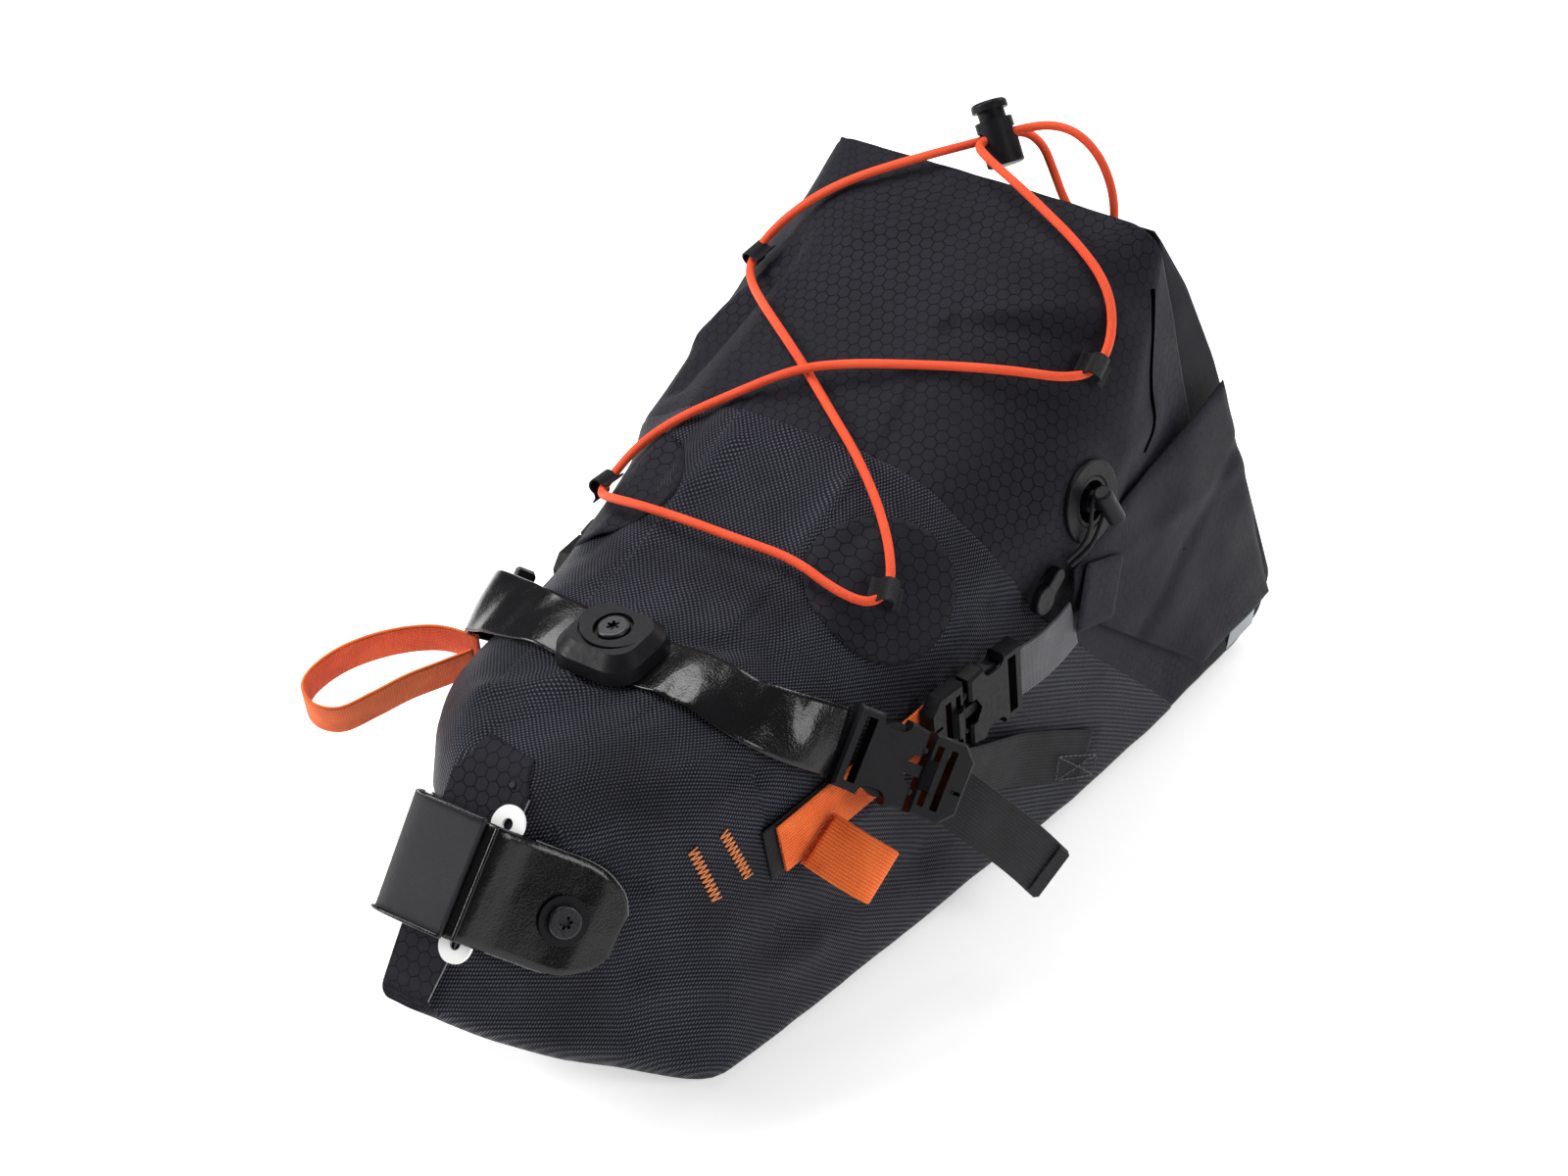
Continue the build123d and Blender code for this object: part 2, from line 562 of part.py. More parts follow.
def valve():
    ring = extrude(Circle(VALVE_RADIUS) - Circle(11.4), 2.2)
    ring = fillet(ring.edges().group_by(Axis.Z)[-1], 0.7)
    export("valve_flange", VALVE.location * (Pos(0, 0, 0.4) * ring))
    cup = extrude(Circle(11.1), -7) - Pos(0, 0, -5.5) * extrude(Circle(9.4), 12)
    lip = Pos(0, 0, -7) * extrude(Circle(11.1), 9.2) - Pos(0, 0, -5.5) * extrude(Circle(9.4), 12)
    export("valve_seat", VALVE.location * (cup + lip))
    stem = Pos(0, 0, -4.6) * extrude(Circle(5), 7)
    neck = Pos(0, 0, 2) * extrude(Circle(3), 8)
    bar = Pos(0, 0, 11) * Rot(90, 0, 0) * Cylinder(4.2, 20)
    bar = fillet(bar.edges().filter_by(GeomType.CIRCLE), 1.6)
    export("valve_knob", VALVE.location * (stem + neck + Rot(0, 0, 25) * bar))
    grip_plane = Plane(origin=(101.4, 14.5, 139), x_dir=(0, 0.86, 0.51), z_dir=(1, 0, 0))
    grip = extrude(Pos(6, 0) * RectangleRounded(20, 8, 3.5) + Circle(6.6), 1.9, both=True)
    export("valve_grip", grip_plane.location * fillet(grip.edges().group_by(Axis.Z)[-1], 0.8))
    export("valve_cord", tube("valve cord", VALVE_ROUTE, VALVE_CORD))


outer_form = hull()
clamp_hole = CLAMP.location * Pos(0, CLAMP_SCREW_Y, -12) * extrude(Circle(SCREW_RADIUS + 0.2), 24)
tongue_holes = tongue_hole(1) + tongue_hole(-1)
bag_shells()
stiffeners()
roll_closure()
rail_strap()
side_webbing()
patches()
clamp_block()
buckles()
cuffs()
seatpost_strap()
bungee()
valve()
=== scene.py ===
from math import cos, pi, radians, sin

import bmesh
import bpy
import numpy as np
from mathutils import Matrix, Vector, noise
from mathutils.bvhtree import BVHTree
from mathutils.kdtree import KDTree


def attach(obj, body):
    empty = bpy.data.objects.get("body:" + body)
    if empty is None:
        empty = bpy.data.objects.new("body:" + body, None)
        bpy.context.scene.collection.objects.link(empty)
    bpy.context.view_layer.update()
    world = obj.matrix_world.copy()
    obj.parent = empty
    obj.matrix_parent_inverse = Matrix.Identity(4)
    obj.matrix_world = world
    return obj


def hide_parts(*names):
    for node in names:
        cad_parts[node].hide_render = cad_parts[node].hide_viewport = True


# A roll-top bicycle seat pack. Lengths are millimetres here and become metres in the meshes.
# +Z is up, -Y is the nose towards the seatpost, +X is the rider's left.

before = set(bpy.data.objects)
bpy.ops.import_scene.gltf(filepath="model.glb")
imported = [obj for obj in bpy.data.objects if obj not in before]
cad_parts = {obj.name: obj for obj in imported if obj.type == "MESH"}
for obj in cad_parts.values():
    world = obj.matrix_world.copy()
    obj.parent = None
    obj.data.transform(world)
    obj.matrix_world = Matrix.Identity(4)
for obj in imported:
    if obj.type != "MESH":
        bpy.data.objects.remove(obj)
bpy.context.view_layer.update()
MM = 0.001

# Stations along the bag, as in the CAD model:
# (top y, top z, bottom y, bottom z, half width at top, half width at bottom, top radius, bottom radius)
STATIONS = np.array([
    (-218, 160, -290, 84, 20, 12, 7, 6),
    (-207, 163, -262, 54, 38, 28, 17, 10),
    (-192, 164, -222, 22, 57, 50, 28, 13),
    (-164, 165, -182, 0, 73, 76, 40, 14),
    (-100, 172, -100, 0, 85, 82, 50, 14),
    (-20, 200, -20, 0, 96, 87, 58, 14),
    (60, 236, 75, 0, 102, 91, 70, 14),
    (126, 261, 182, 0, 89, 88, 16, 12),
], float)

# Where the woven panel ends and the ripstop tube begins, as (height, y)
PANEL_EDGE = np.array([(0, 140), (29, 113), (80, 62), (126, 21), (160, 0), (185, -10), (212, -12)], float)

ROLL = [(128, 260), (150, 224), (172, 175), (200, 95), (222, 26), (212, 9), (190, 3), (182.4, 3)]
ROLL_HALF = 86.5
# The spacing of points along the roll's outline before its corners are cut round
ROLL_SPACING = 11
EAR = [(169, 166), (214, 24), (148, 24), (72, 88), (33, 122), (33, 144.5), (80, 155), (110, 157)]

POST_AXIS = np.array((0, 0.688, 0.726))
NOSE_NORMAL = np.array((0, -0.726, 0.688))
NOSE_MIDDLE = np.array((0, -251.4, 124.7))
VALVE_CENTRE = np.array((99.8, 52, 168))
VALVE_NORMAL = np.array((0.99, 0, 0.12)) / np.hypot(0.99, 0.12)

BUNGEE_ROUTE = [
    (31, 162, 217), (27, 157, 229), (21, 153, 243), (14, 155, 256), (8, 156, 267), (1, 152, 273.5),
    (-7.2, 143.3, 272), (-15.5, 134.5, 270), (-27, 125, 267), (-42, 114, 262), (-57, 102, 256.5),
    (-71, 92, 248), (-83, 84, 237), (-90, 76, 227), (-89.5, 65, 220.5), (-80, 54, 220.5),
    (-62.7, 39.4, 222.9),
    (-40.1, 23.8, 223.5), (-17.2, 11, 218.3), (10, -5, 210.5), (33, -19, 205), (54, -34, 197), (68, -46, 187),
    (76, -57, 177), (73, -68, 174), (60, -74, 180), (38, -73, 187.5), (10, -74, 187.5), (-18, -74, 187.5),
    (-44, -74, 186), (-64, -70, 180.5), (-76.5, -62, 174), (-79.5, -50, 175), (-75, -36, 185),
    (-63, -23, 195.5),
    (-43, -10, 207), (-18, 4, 221), (2, 15, 224.5), (26, 26, 226), (51.3, 36.4, 227.4),
    (69.6, 49.1, 224.2),
    (82.1, 61.7, 218.6), (89, 74, 217), (90, 85, 224), (86, 94, 237), (77, 99, 249), (59, 105, 258),
    (41, 111, 263), (25, 116.5, 267), (12, 120.5, 270), (0, 124, 273), (-9, 130, 273.5), (-4.8, 140.5, 274.6),
    (4, 150, 276.5), (14, 156, 278), (25, 159, 275.5), (35, 160, 267), (41, 160, 255), (43, 160, 242),
    (41, 161, 230), (37, 163, 218),
]
BUNGEE_KNOT = (34, 164, 209.5)
VALVE_ROUTE = [
    (102.6, 31, 149.8), (104.8, 36, 152.5), (106.1, 41, 156), (105.8, 45, 161), (105, 46.9, 167),
    (104.8, 49.3, 173.8), (104.8, 55, 173.8), (104.9, 57.6, 167.5), (105.7, 54, 160.3), (106.6, 47.5, 154),
    (105.8, 40, 149.5), (103.4, 33, 146.8),
]

# Folds and dents of the slack fabric: (start, end, half width, height out of the surface)
CREASES = [
    ((29, -226, 135), (65, -148, 153), 9, 2.4),
    ((34, -212, 128), (72, -150, 138), 8, -2.2),
    ((-8, -205, 165), (30, -170, 166), 9, -1.2),
    ((-30, -190, 165), (48, -118, 168), 10, 1.6),
    ((20, -125, 176), (62, -112, 168), 9, -1.8),
    ((28, -214, 142), (58, -170, 150), 5, 1.6),
    ((40, -200, 138), (74, -160, 138), 5, 1.2),
    ((4, -104, 178), (12, -52, 194), 5, 1.5),
    ((28, -98, 180), (30, -44, 198), 5, 1.4),
    ((44, -96, 178), (46, -40, 198), 5, 1.4),
    ((60, -94, 170), (62, -70, 178), 5, 1.2),
    ((-10, -120, 176), (4, -50, 196), 7, 1.5),
    ((14, -118, 177), (22, -60, 193), 7, -1.4),
    ((34, -112, 177), (34, -30, 200), 7, 1.5),
    ((52, -108, 172), (52, -20, 198), 8, -1.3),
    ((-40, -110, 176), (-28, -30, 200), 8, 1.3),
    ((-60, -90, 172), (-50, 10, 208), 9, -1.5),
    ((-84, 10, 186), (-70, 80, 226), 9, -2.2),
    ((-90, 40, 190), (-60, 110, 246), 8, 1.8),
    ((40, 60, 238), (84, 100, 232), 8, 1.6),
    ((30, 50, 234), (80, 84, 226), 6, -1.6),
    ((-40, 80, 246), (10, 110, 258), 9, 1.3),
    ((96, -10, 150), (99, 40, 120), 10, -2.0),
    ((97, 20, 172), (94, 112, 176), 12, 1.5),
    ((80, -150, 60), (88, -60, 40), 14, -1.8),
    ((84, -140, 100), (93, -30, 84), 12, 1.2),
    ((60, -205, 60), (82, -130, 40), 12, 1.4),
    ((-100, 0, 172), (-98, 110, 206), 26, 6.5),
]
# How far the sides and the top bulge between their edges
SWELL = 1.5
# The listed folds are made deeper and narrower by these factors
FOLD_DEPTH = 1.8
FOLD_NARROWING = 0.8
# In front of this y, a plate behind the fabric lets it sag no further than this
BRACED_NOSE = -150
BRACED_SAG = -1.2
# The dent's middle, its reach and its height
UNDER_LOOP_DENT = (np.array((80, -150, 112)), 26, -2.5)

# The fabric stays this far above the floor
FLOOR_GAP = 0.1
# How far a patch's edge dips into the bag's surface
PATCH_EDGE_DIP = -0.4
# The front panel's flat coordinates turn from top to side over this half width
PANEL_TURN = 12
VALVE_HOLE_RADIUS = 12.5
# The weave's colour and relief repeat every so many millimetres
THREAD_PITCH = 2.3
SHELL_THICKNESS = 1.0
TAPE_THICKNESS = 1.5
WEBBING_WIDTH = 25
BASE_WIDTH = 27
RAIL_STRAP_WIDTH = 30


def unit(vector):
    vector = np.asarray(vector, float)
    return vector / np.linalg.norm(vector)


# ---- Camera, light and floor ----

def camera():
    azimuth, elevation, roll = radians(39.963), radians(34.172), radians(4.322)
    back = Vector((sin(azimuth) * cos(elevation), -cos(azimuth) * cos(elevation), sin(elevation)))
    right = Vector((cos(azimuth), sin(azimuth), 0))
    up = back.cross(right)
    data = bpy.data.cameras.new("camera")
    data.lens = 93.1
    data.sensor_width = 36
    data.clip_end = 50
    eye = bpy.data.objects.new("camera", data)
    across = right * cos(roll) - up * sin(roll)
    upright = right * sin(roll) + up * cos(roll)
    eye.matrix_world = Matrix((
        (across.x, upright.x, back.x, 0.9279),
        (across.y, upright.y, back.y, -1.1420),
        (across.z, upright.z, back.z, 1.1173),
        (0, 0, 0, 1),
    ))
    bpy.context.scene.collection.objects.link(eye)
    bpy.context.scene.camera = eye


def area_light(name, place, target, size, power):
    data = bpy.data.lights.new(name, "AREA")
    data.shape = "RECTANGLE"
    data.size, data.size_y = size
    data.energy = power
    lamp = bpy.data.objects.new(name, data)
    lamp.location = place
    lamp.rotation_euler = (Vector(target) - Vector(place)).to_track_quat("-Z", "Y").to_euler()
    bpy.context.scene.collection.objects.link(lamp)


def studio():
    scene = bpy.context.scene
    scene.view_settings.view_transform = "Standard"
    world = bpy.data.worlds.new("studio")
    world.use_nodes = True
    world.node_tree.nodes["Background"].inputs["Color"].default_value = (1, 1, 1, 1)
    world.node_tree.nodes["Background"].inputs["Strength"].default_value = 0.16
    scene.world = world
    area_light("softbox_top", (-0.7, 0.2, 1.7), (0, 0, 0.1), (1.0, 0.8), 25)
    area_light("softbox_left", (-1.5, -1.2, 1.1), (0, -0.1, 0.12), (0.6, 1.0), 38)
    area_light("softbox_right", (1.9, -0.1, 1.0), (0, 0, 0.12), (0.6, 1.0), 17)
    area_light("softbox_rear", (0.3, 1.7, 1.3), (0, 0, 0.2), (1.2, 0.6), 18)
    half = 6.0
    floor = bpy.data.meshes.new("floor")
    corners = [(-half, -half, 0), (half, -half, 0), (half, half, 0), (-half, half, 0)]
    floor.from_pydata(corners, [], [(0, 1, 2, 3)])
    floor.materials.append(floor_paper())
    ground = bpy.data.objects.new("floor", floor)
    ground.location.z = -0.0006
    bpy.context.scene.collection.objects.link(ground)


# ---- Materials ----

class Finish:
    """A node material being built, with a short call for each kind of node."""

    def __init__(self, name, roughness, **fixed):
        self.material = bpy.data.materials.new(name)
        self.material.use_nodes = True
        self.tree = self.material.node_tree
        self.shader = self.tree.nodes["Principled BSDF"]
        self.shader.inputs["Roughness"].default_value = roughness
        for socket, value in fixed.items():
            self.shader.inputs[socket.replace("_", " ")].default_value = value

    def put(self, socket, value):
        if isinstance(value, bpy.types.NodeSocket):
            self.tree.links.new(value, socket)
        else:
            socket.default_value = value

    def add(self, kind, values=(), **settings):
        node = self.tree.nodes.new(kind)
        for name, value in settings.items():
            setattr(node, name, value)
        for socket, value in zip(node.inputs, values):
            self.put(socket, value)
        return node

    def math(self, operation, *values):
        return self.add("ShaderNodeMath", values, operation=operation).outputs[0]

    def vector(self, operation, *values):
        node = self.add("ShaderNodeVectorMath", values, operation=operation)
        return node.outputs["Value"] if operation in ("DOT_PRODUCT", "LENGTH") else node.outputs["Vector"]

    def cloth(self):
        """The piece's own flat coordinates, in millimetres."""
        return self.add("ShaderNodeUVMap", uv_map="mm").outputs["UV"]

    def solid(self):
        """The object's coordinates, in metres."""
        return self.add("ShaderNodeTexCoord").outputs["Object"]

    def split(self, vector):
        node = self.add("ShaderNodeSeparateXYZ", [vector])
        return node.outputs["X"], node.outputs["Y"]

    def noise(self, vector, scale, detail=3.0, rough=0.5):
        node = self.add("ShaderNodeTexNoise")
        self.put(node.inputs["Vector"], vector)
        node.inputs["Scale"].default_value = scale
        node.inputs["Detail"].default_value = detail
        node.inputs["Roughness"].default_value = rough
        return node.outputs["Fac"]

    def remap(self, value, low, high, new_low, new_high):
        node = self.add("ShaderNodeMapRange", [value, low, high, new_low, new_high])
        return node.outputs["Result"]

    def wave(self, coordinate, pitch):
        """A sine from -1 to 1 that repeats every pitch."""
        return self.math("SINE", self.math("MULTIPLY", coordinate, 2 * pi / pitch))

    def blend(self, share, first, second):
        node = self.add("ShaderNodeMix", data_type="RGBA")
        self.put(node.inputs["Factor"], share)
        self.put(node.inputs["A"], (*first, 1) if isinstance(first, tuple) else first)
        self.put(node.inputs["B"], (*second, 1) if isinstance(second, tuple) else second)
        return node.outputs["Result"]

    def colour(self, value):
        self.put(self.shader.inputs["Base Color"], value)

    def rough(self, value):
        self.put(self.shader.inputs["Roughness"], value)

    def bumps(self, *layers):
        """Layers of (height, depth in metres), each added to the one before."""
        normal = None
        for height, depth in layers:
            node = self.add("ShaderNodeBump")
            node.inputs["Strength"].default_value = 1.0
            node.inputs["Distance"].default_value = depth
            self.put(node.inputs["Height"], height)
            if normal is not None:
                self.put(node.inputs["Normal"], normal)
            normal = node.outputs["Normal"]
        self.put(self.shader.inputs["Normal"], normal)


def floor_paper():
    f = Finish("floor_paper", 0.9, Specular_IOR_Level=0.1, Emission_Color=(1, 1, 1, 1), Emission_Strength=0.5)
    f.colour(f.blend(f.noise(f.solid(), 3.0), (0.93, 0.93, 0.93), (0.95, 0.95, 0.95)))
    return f.material


def modulo_centred(f, vector, cell, half):
    """The vector inside its own cell of a rectangular grid, measured from the cell's middle."""
    node = f.add("ShaderNodeVectorMath", [vector, (0, 0, 0), cell], operation="WRAP")
    return f.vector("SUBTRACT", node.outputs["Vector"], half)


def hexagon_lines(f, vector, size):
    """1 on the thin lines of a honeycomb of that size across its flats, 0 inside the cells."""
    cell = (size, size * 1.7320508, 1.0)
    half = (cell[0] / 2, cell[1] / 2, 0.0)
    flat = f.vector("MULTIPLY", vector, (1, 1, 0))
    first = modulo_centred(f, flat, cell, half)
    second = modulo_centred(f, f.vector("SUBTRACT", flat, half), cell, half)
    nearer = f.math("LESS_THAN", f.vector("DOT_PRODUCT", first, first),
                    f.vector("DOT_PRODUCT", second, second))
    pick = f.vector("ADD", f.vector("MULTIPLY", first, nearer),
                    f.vector("MULTIPLY", second, f.math("SUBTRACT", 1.0, nearer)))
    inside = f.vector("ABSOLUTE", pick)
    slanted = f.vector("DOT_PRODUCT", inside, (0.5, 0.8660254, 0))
    reach = f.math("MAXIMUM", slanted, f.split(inside)[0])
    return f.remap(reach, size * 0.45, size * 0.485, 0.0, 1.0)


def woven_fabric():
    """Coarse plain weave under a thin clear coating."""
    f = Finish("woven_fabric", 0.5, Sheen_Weight=0.02, Sheen_Roughness=0.4, Specular_IOR_Level=0.09)
    u, v = f.split(f.cloth())
    weave = f.math("MULTIPLY", f.wave(u, THREAD_PITCH), f.wave(v, THREAD_PITCH))
    yarn = f.remap(weave, 0.1, 0.85, 0.0, 1.0)
    patchy = f.noise(f.solid(), 28.0)
    slubs = f.noise(f.cloth(), 0.35, 2.0)
    base = f.blend(patchy, (0.0016, 0.0016, 0.0026), (0.0085, 0.0085, 0.0130))
    # Painted highlight: the yarn tops get a much lighter colour, standing in for glints of light on the
    # coated weave. The patchy noise fades it at random.
    yarn_glint = f.math("MULTIPLY", yarn, f.remap(patchy, 0.3, 0.7, 0.5, 1.0))
    f.colour(f.blend(yarn_glint, base, (0.090, 0.094, 0.130)))
    f.rough(f.remap(f.math("ADD", weave, slubs), -0.8, 1.8, 0.6, 0.34))
    f.bumps((weave, 0.0003), (slubs, 0.0003), (f.noise(f.solid(), 220.0), 0.0001))
    return f.material


def ripstop_fabric(name, dark, light, size=6.0):
    """Smooth coated fabric with a fine honeycomb printed and slightly raised in it."""
    f = Finish(name, 0.5, Specular_IOR_Level=0.06)
    lines = hexagon_lines(f, f.cloth(), size)
    fade = f.remap(f.noise(f.solid(), 14.0, 2.0), 0.35, 0.6, 0.45, 1.0)
    marked = f.math("MULTIPLY", lines, fade)
    u, v = f.split(f.cloth())
    grain = f.math("MULTIPLY", f.wave(u, 0.45), f.wave(v, 0.45))
    patchy = f.noise(f.solid(), 22.0)
    base = f.blend(patchy, dark, light)
    f.colour(f.blend(marked, base, (0.002, 0.002, 0.0025)))
    f.rough(f.remap(patchy, 0.3, 0.7, 0.46, 0.6))
    f.bumps((f.math("MULTIPLY", marked, -1.0), 0.0002), (grain, 0.00003),
            (f.noise(f.solid(), 60.0, 4.0), 0.0004))
    return f.material


def webbing(name, dark, light, roughness=0.7, rib=1.5, pick=1.15):
    """Woven tape: ribs run along it, with rows of threads across them."""
    f = Finish(name, roughness, Sheen_Weight=0.02, Sheen_Roughness=0.35, Specular_IOR_Level=0.2)
    across, along = f.split(f.cloth())
    ribs = f.wave(across, rib)
    rows = f.math("MULTIPLY", f.wave(f.math("ADD", along, f.math("MULTIPLY", ribs, 0.15)), pick), 0.6)
    relief = f.math("ADD", ribs, rows)
    wear = f.noise(f.solid(), 60.0)
    shade = f.math("MULTIPLY_ADD", relief, 0.22, wear)
    f.colour(f.blend(f.remap(shade, 0.1, 0.9, 0.0, 1.0), dark, light))
    f.bumps((relief, 0.00014), (f.noise(f.cloth(), 3.0), 0.0001))
    return f.material


def braid(name, dark, light, pitch, roughness=0.55):
    """Diagonal strands crossing round a cord."""
    f = Finish(name, roughness, Sheen_Weight=0.02, Sheen_Roughness=0.3, Specular_IOR_Level=0.25)
    around, along = f.split(f.cloth())
    one = f.wave(f.math("ADD", around, along), pitch)
    other = f.wave(f.math("SUBTRACT", around, along), pitch)
    strands = f.math("MAXIMUM", one, other)
    shade = f.math("MULTIPLY_ADD", strands, 0.35, f.math("MULTIPLY", f.noise(f.solid(), 40.0), 0.7))
    f.colour(f.blend(f.remap(shade, 0.05, 0.8, 0.0, 1.0), dark, light))
    f.bumps((strands, 0.00012), (f.noise(f.solid(), 900.0), 0.00008))
    return f.material


def coated_strap():
    """Glossy black coated strap with a faint pebbling."""
    f = Finish("coated_strap", 0.2, Coat_Weight=0.18, Coat_Roughness=0.08, Specular_IOR_Level=0.2)
    smear = f.noise(f.solid(), 35.0, 4.0)
    f.colour(f.blend(smear, (0.003, 0.003, 0.0035), (0.007, 0.007, 0.008)))
    f.rough(f.remap(smear, 0.35, 0.7, 0.13, 0.28))
    f.bumps((f.noise(f.solid(), 45.0, 2.0), 0.0013), (f.noise(f.solid(), 900.0), 0.0002))
    return f.material


def grip_pad():
    """Matte rubbery cloth with a fine pebble."""
    f = Finish("grip_pad", 0.6, Specular_IOR_Level=0.25)
    u, v = f.split(f.cloth())
    pebble = f.math("MULTIPLY", f.wave(u, 0.9), f.wave(v, 0.9))
    cloudy = f.noise(f.solid(), 50.0, 4.0)
    f.colour(f.blend(cloudy, (0.010, 0.009, 0.011), (0.024, 0.022, 0.026)))
    f.rough(f.remap(cloudy, 0.3, 0.7, 0.5, 0.68))
    f.bumps((pebble, 0.00008), (cloudy, 0.0006))
    return f.material


def moulded(name, dark, light, roughness=0.42):
    """Moulded plastic with a fine spark texture and faint scuffs."""
    f = Finish(name, roughness, Specular_IOR_Level=0.14)
    cloudy = f.noise(f.solid(), 70.0, 3.0)
    scuffs = f.noise(f.solid(), 400.0, 4.0, 0.7)
    f.colour(f.blend(cloudy, dark, light))
    f.rough(f.remap(scuffs, 0.35, 0.7, roughness - 0.08, roughness + 0.12))
    f.bumps((f.noise(f.solid(), 2500.0, 2.0), 0.00005), (scuffs, 0.00003))
    return f.material


def blackened_steel():
    f = Finish("blackened_steel", 0.32, Metallic=0.85)
    grain = f.noise(f.solid(), 800.0, 3.0)
    f.colour(f.blend(grain, (0.018, 0.018, 0.02), (0.05, 0.05, 0.055)))
    f.rough(f.remap(grain, 0.3, 0.7, 0.26, 0.42))
    f.bumps((grain, 0.00004))
    return f.material


def reflective_print():
    """Silver glass-bead print with a fine screen of dots."""
    f = Finish("reflective_print", 0.35, Metallic=0.3)
    u, v = f.split(f.cloth())
    dots = f.math("MULTIPLY", f.wave(u, 1.4), f.wave(v, 1.4))
    f.colour(f.blend(f.remap(dots, -1.0, 1.0, 0.0, 1.0), (0.26, 0.28, 0.30), (0.38, 0.40, 0.42)))
    f.rough(f.remap(f.noise(f.solid(), 80.0), 0.3, 0.7, 0.3, 0.5))
    f.bumps((dots, 0.00004))
    return f.material


def thread(name, dark, light):
    """Twisted sewing thread."""
    f = Finish(name, 0.5, Sheen_Weight=0.3)
    around, along = f.split(f.cloth())
    twist = f.wave(f.math("ADD", around, along), 0.8)
    f.colour(f.blend(f.remap(twist, -1.0, 1.0, 0.0, 1.0), dark, light))
    f.bumps((twist, 0.00008))
    return f.material


def fold_shade():
    """Painted shade: a near-black, lightless finish for a strip laid where a deep fold's shadow falls."""
    f = Finish("fold_shade", 1.0, Specular_IOR_Level=0.0)
    f.colour(f.blend(f.noise(f.solid(), 300.0), (0.0004, 0.0004, 0.0005), (0.0012, 0.0012, 0.0015)))
    return f.material


WOVEN = woven_fabric()
RIPSTOP = ripstop_fabric("ripstop_fabric", (0.0110, 0.0110, 0.0150), (0.0190, 0.0190, 0.0255))
# The roll closure, its ears and cuffs use the same ripstop in darker colours: painted shade over the whole
# roll and ears.
ROLL_RIPSTOP_SHADED = ripstop_fabric("roll_ripstop_painted_shade", (0.0075, 0.0075, 0.0112), (0.0135, 0.0135, 0.0195))
ORANGE = webbing("orange_webbing", (0.60, 0.075, 0.012), (0.96, 0.20, 0.045))
BLACK_TAPE = webbing("black_webbing", (0.003, 0.003, 0.0035), (0.016, 0.016, 0.019))
TAB_TAPE = webbing("loop_tab_tape", (0.004, 0.004, 0.005), (0.012, 0.012, 0.014), 0.42, 0.7, 0.6)
GREY_TAPE = webbing("grey_webbing", (0.05, 0.05, 0.056), (0.11, 0.11, 0.12), 0.42, 1.4, 0.9)
BUNGEE_SHEATH = braid("bungee_sheath", (0.70, 0.045, 0.012), (0.97, 0.115, 0.035), 1.1)
BLACK_CORD = braid("black_cord", (0.003, 0.003, 0.0035), (0.02, 0.02, 0.023), 1.0)
COATED = coated_strap()
PAD = grip_pad()
PLASTIC = moulded("black_plastic", (0.003, 0.003, 0.004), (0.008, 0.008, 0.010))
BOARD = moulded("stiffener_plastic", (0.05, 0.05, 0.055), (0.08, 0.08, 0.085), 0.55)
WHITE = moulded("white_plastic", (0.78, 0.78, 0.77), (0.88, 0.88, 0.87), 0.4)
STEEL = blackened_steel()
SILVER = reflective_print()
ORANGE_THREAD = thread("orange_thread", (0.55, 0.10, 0.015), (1.0, 0.36, 0.08))
BLACK_THREAD = thread("black_thread", (0.005, 0.005, 0.006), (0.035, 0.035, 0.04))
FOLD_SHADE = fold_shade()
FRAY = thread("frayed_edge", (0.05, 0.055, 0.055), (0.26, 0.27, 0.27))


# ---- Meshes ----

def piece(name, grids, material, nodes=(), body="bag"):
    """One mesh from grids of (points, flat coordinates, closed round), on a body and standing for nodes."""
    points, faces, corners = [], [], []
    for rows_of_points, flat, closed in grids:
        start = len(points)
        rows, cols = rows_of_points.shape[:2]
        points += [tuple(p) for p in rows_of_points.reshape(-1, 3) * MM]
        for i in range(rows - 1):
            for j in range(cols if closed else cols - 1):
                k = (j + 1) % cols
                faces.append([start + i * cols + j, start + i * cols + k,
                              start + (i + 1) * cols + k, start + (i + 1) * cols + j])
                corners += [flat[i, j], flat[i, j + 1], flat[i + 1, j + 1], flat[i + 1, j]]
    mesh = bpy.data.meshes.new(name)
    mesh.from_pydata(points, [], faces)
    layer = mesh.uv_layers.new(name="mm")
    layer.data.foreach_set("uv", np.array(corners, np.float32).reshape(-1))
    mesh.materials.append(material)
    mesh.shade_smooth()
    made = bpy.data.objects.new(name, mesh)
    bpy.context.scene.collection.objects.link(made)
    if body:
        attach(made, body)
    if nodes:
        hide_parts(*nodes)
    return made


def normals_of(points, closed):
    """Unit normals of a grid of points, from its own slopes."""
    along = np.gradient(points, axis=0)
    if closed:
        round_it = (np.roll(points, -1, axis=1) - np.roll(points, 1, axis=1)) / 2
    else:
        round_it = np.gradient(points, axis=1)
    normal = np.cross(round_it, along)
    length = np.linalg.norm(normal, axis=2, keepdims=True)
    return normal / np.maximum(length, 1e-9)


def flat_coordinates(points, closed):
    """Arc lengths (across, along) of a grid in millimetres, with one more column where it closes."""
    if closed:
        points = np.concatenate([points, points[:, :1]], axis=1)
    across = np.linalg.norm(np.diff(points, axis=1), axis=2)
    across = np.concatenate([np.zeros((len(points), 1)), np.cumsum(across, axis=1)], axis=1)
    across = across - across[:, -1:] / 2
    along = np.linalg.norm(np.diff(points, axis=0), axis=2)
    along = np.concatenate([np.zeros((1, points.shape[1])), np.cumsum(along, axis=0)], axis=0)
    return np.stack([across, along], axis=2)


def panel_coordinates(points):
    """Flat coordinates of the front panel: the top is laid flat and the sides are folded up beside it."""
    points = np.concatenate([points, points[:, :1]], axis=1)
    x, y, z = np.moveaxis(points, 2, 0)
    drop = np.interp(y, STATIONS[:, 0], STATIONS[:, 1]) - z
    return np.stack([x + np.clip(x / PANEL_TURN, -1, 1) * drop, y], axis=2)


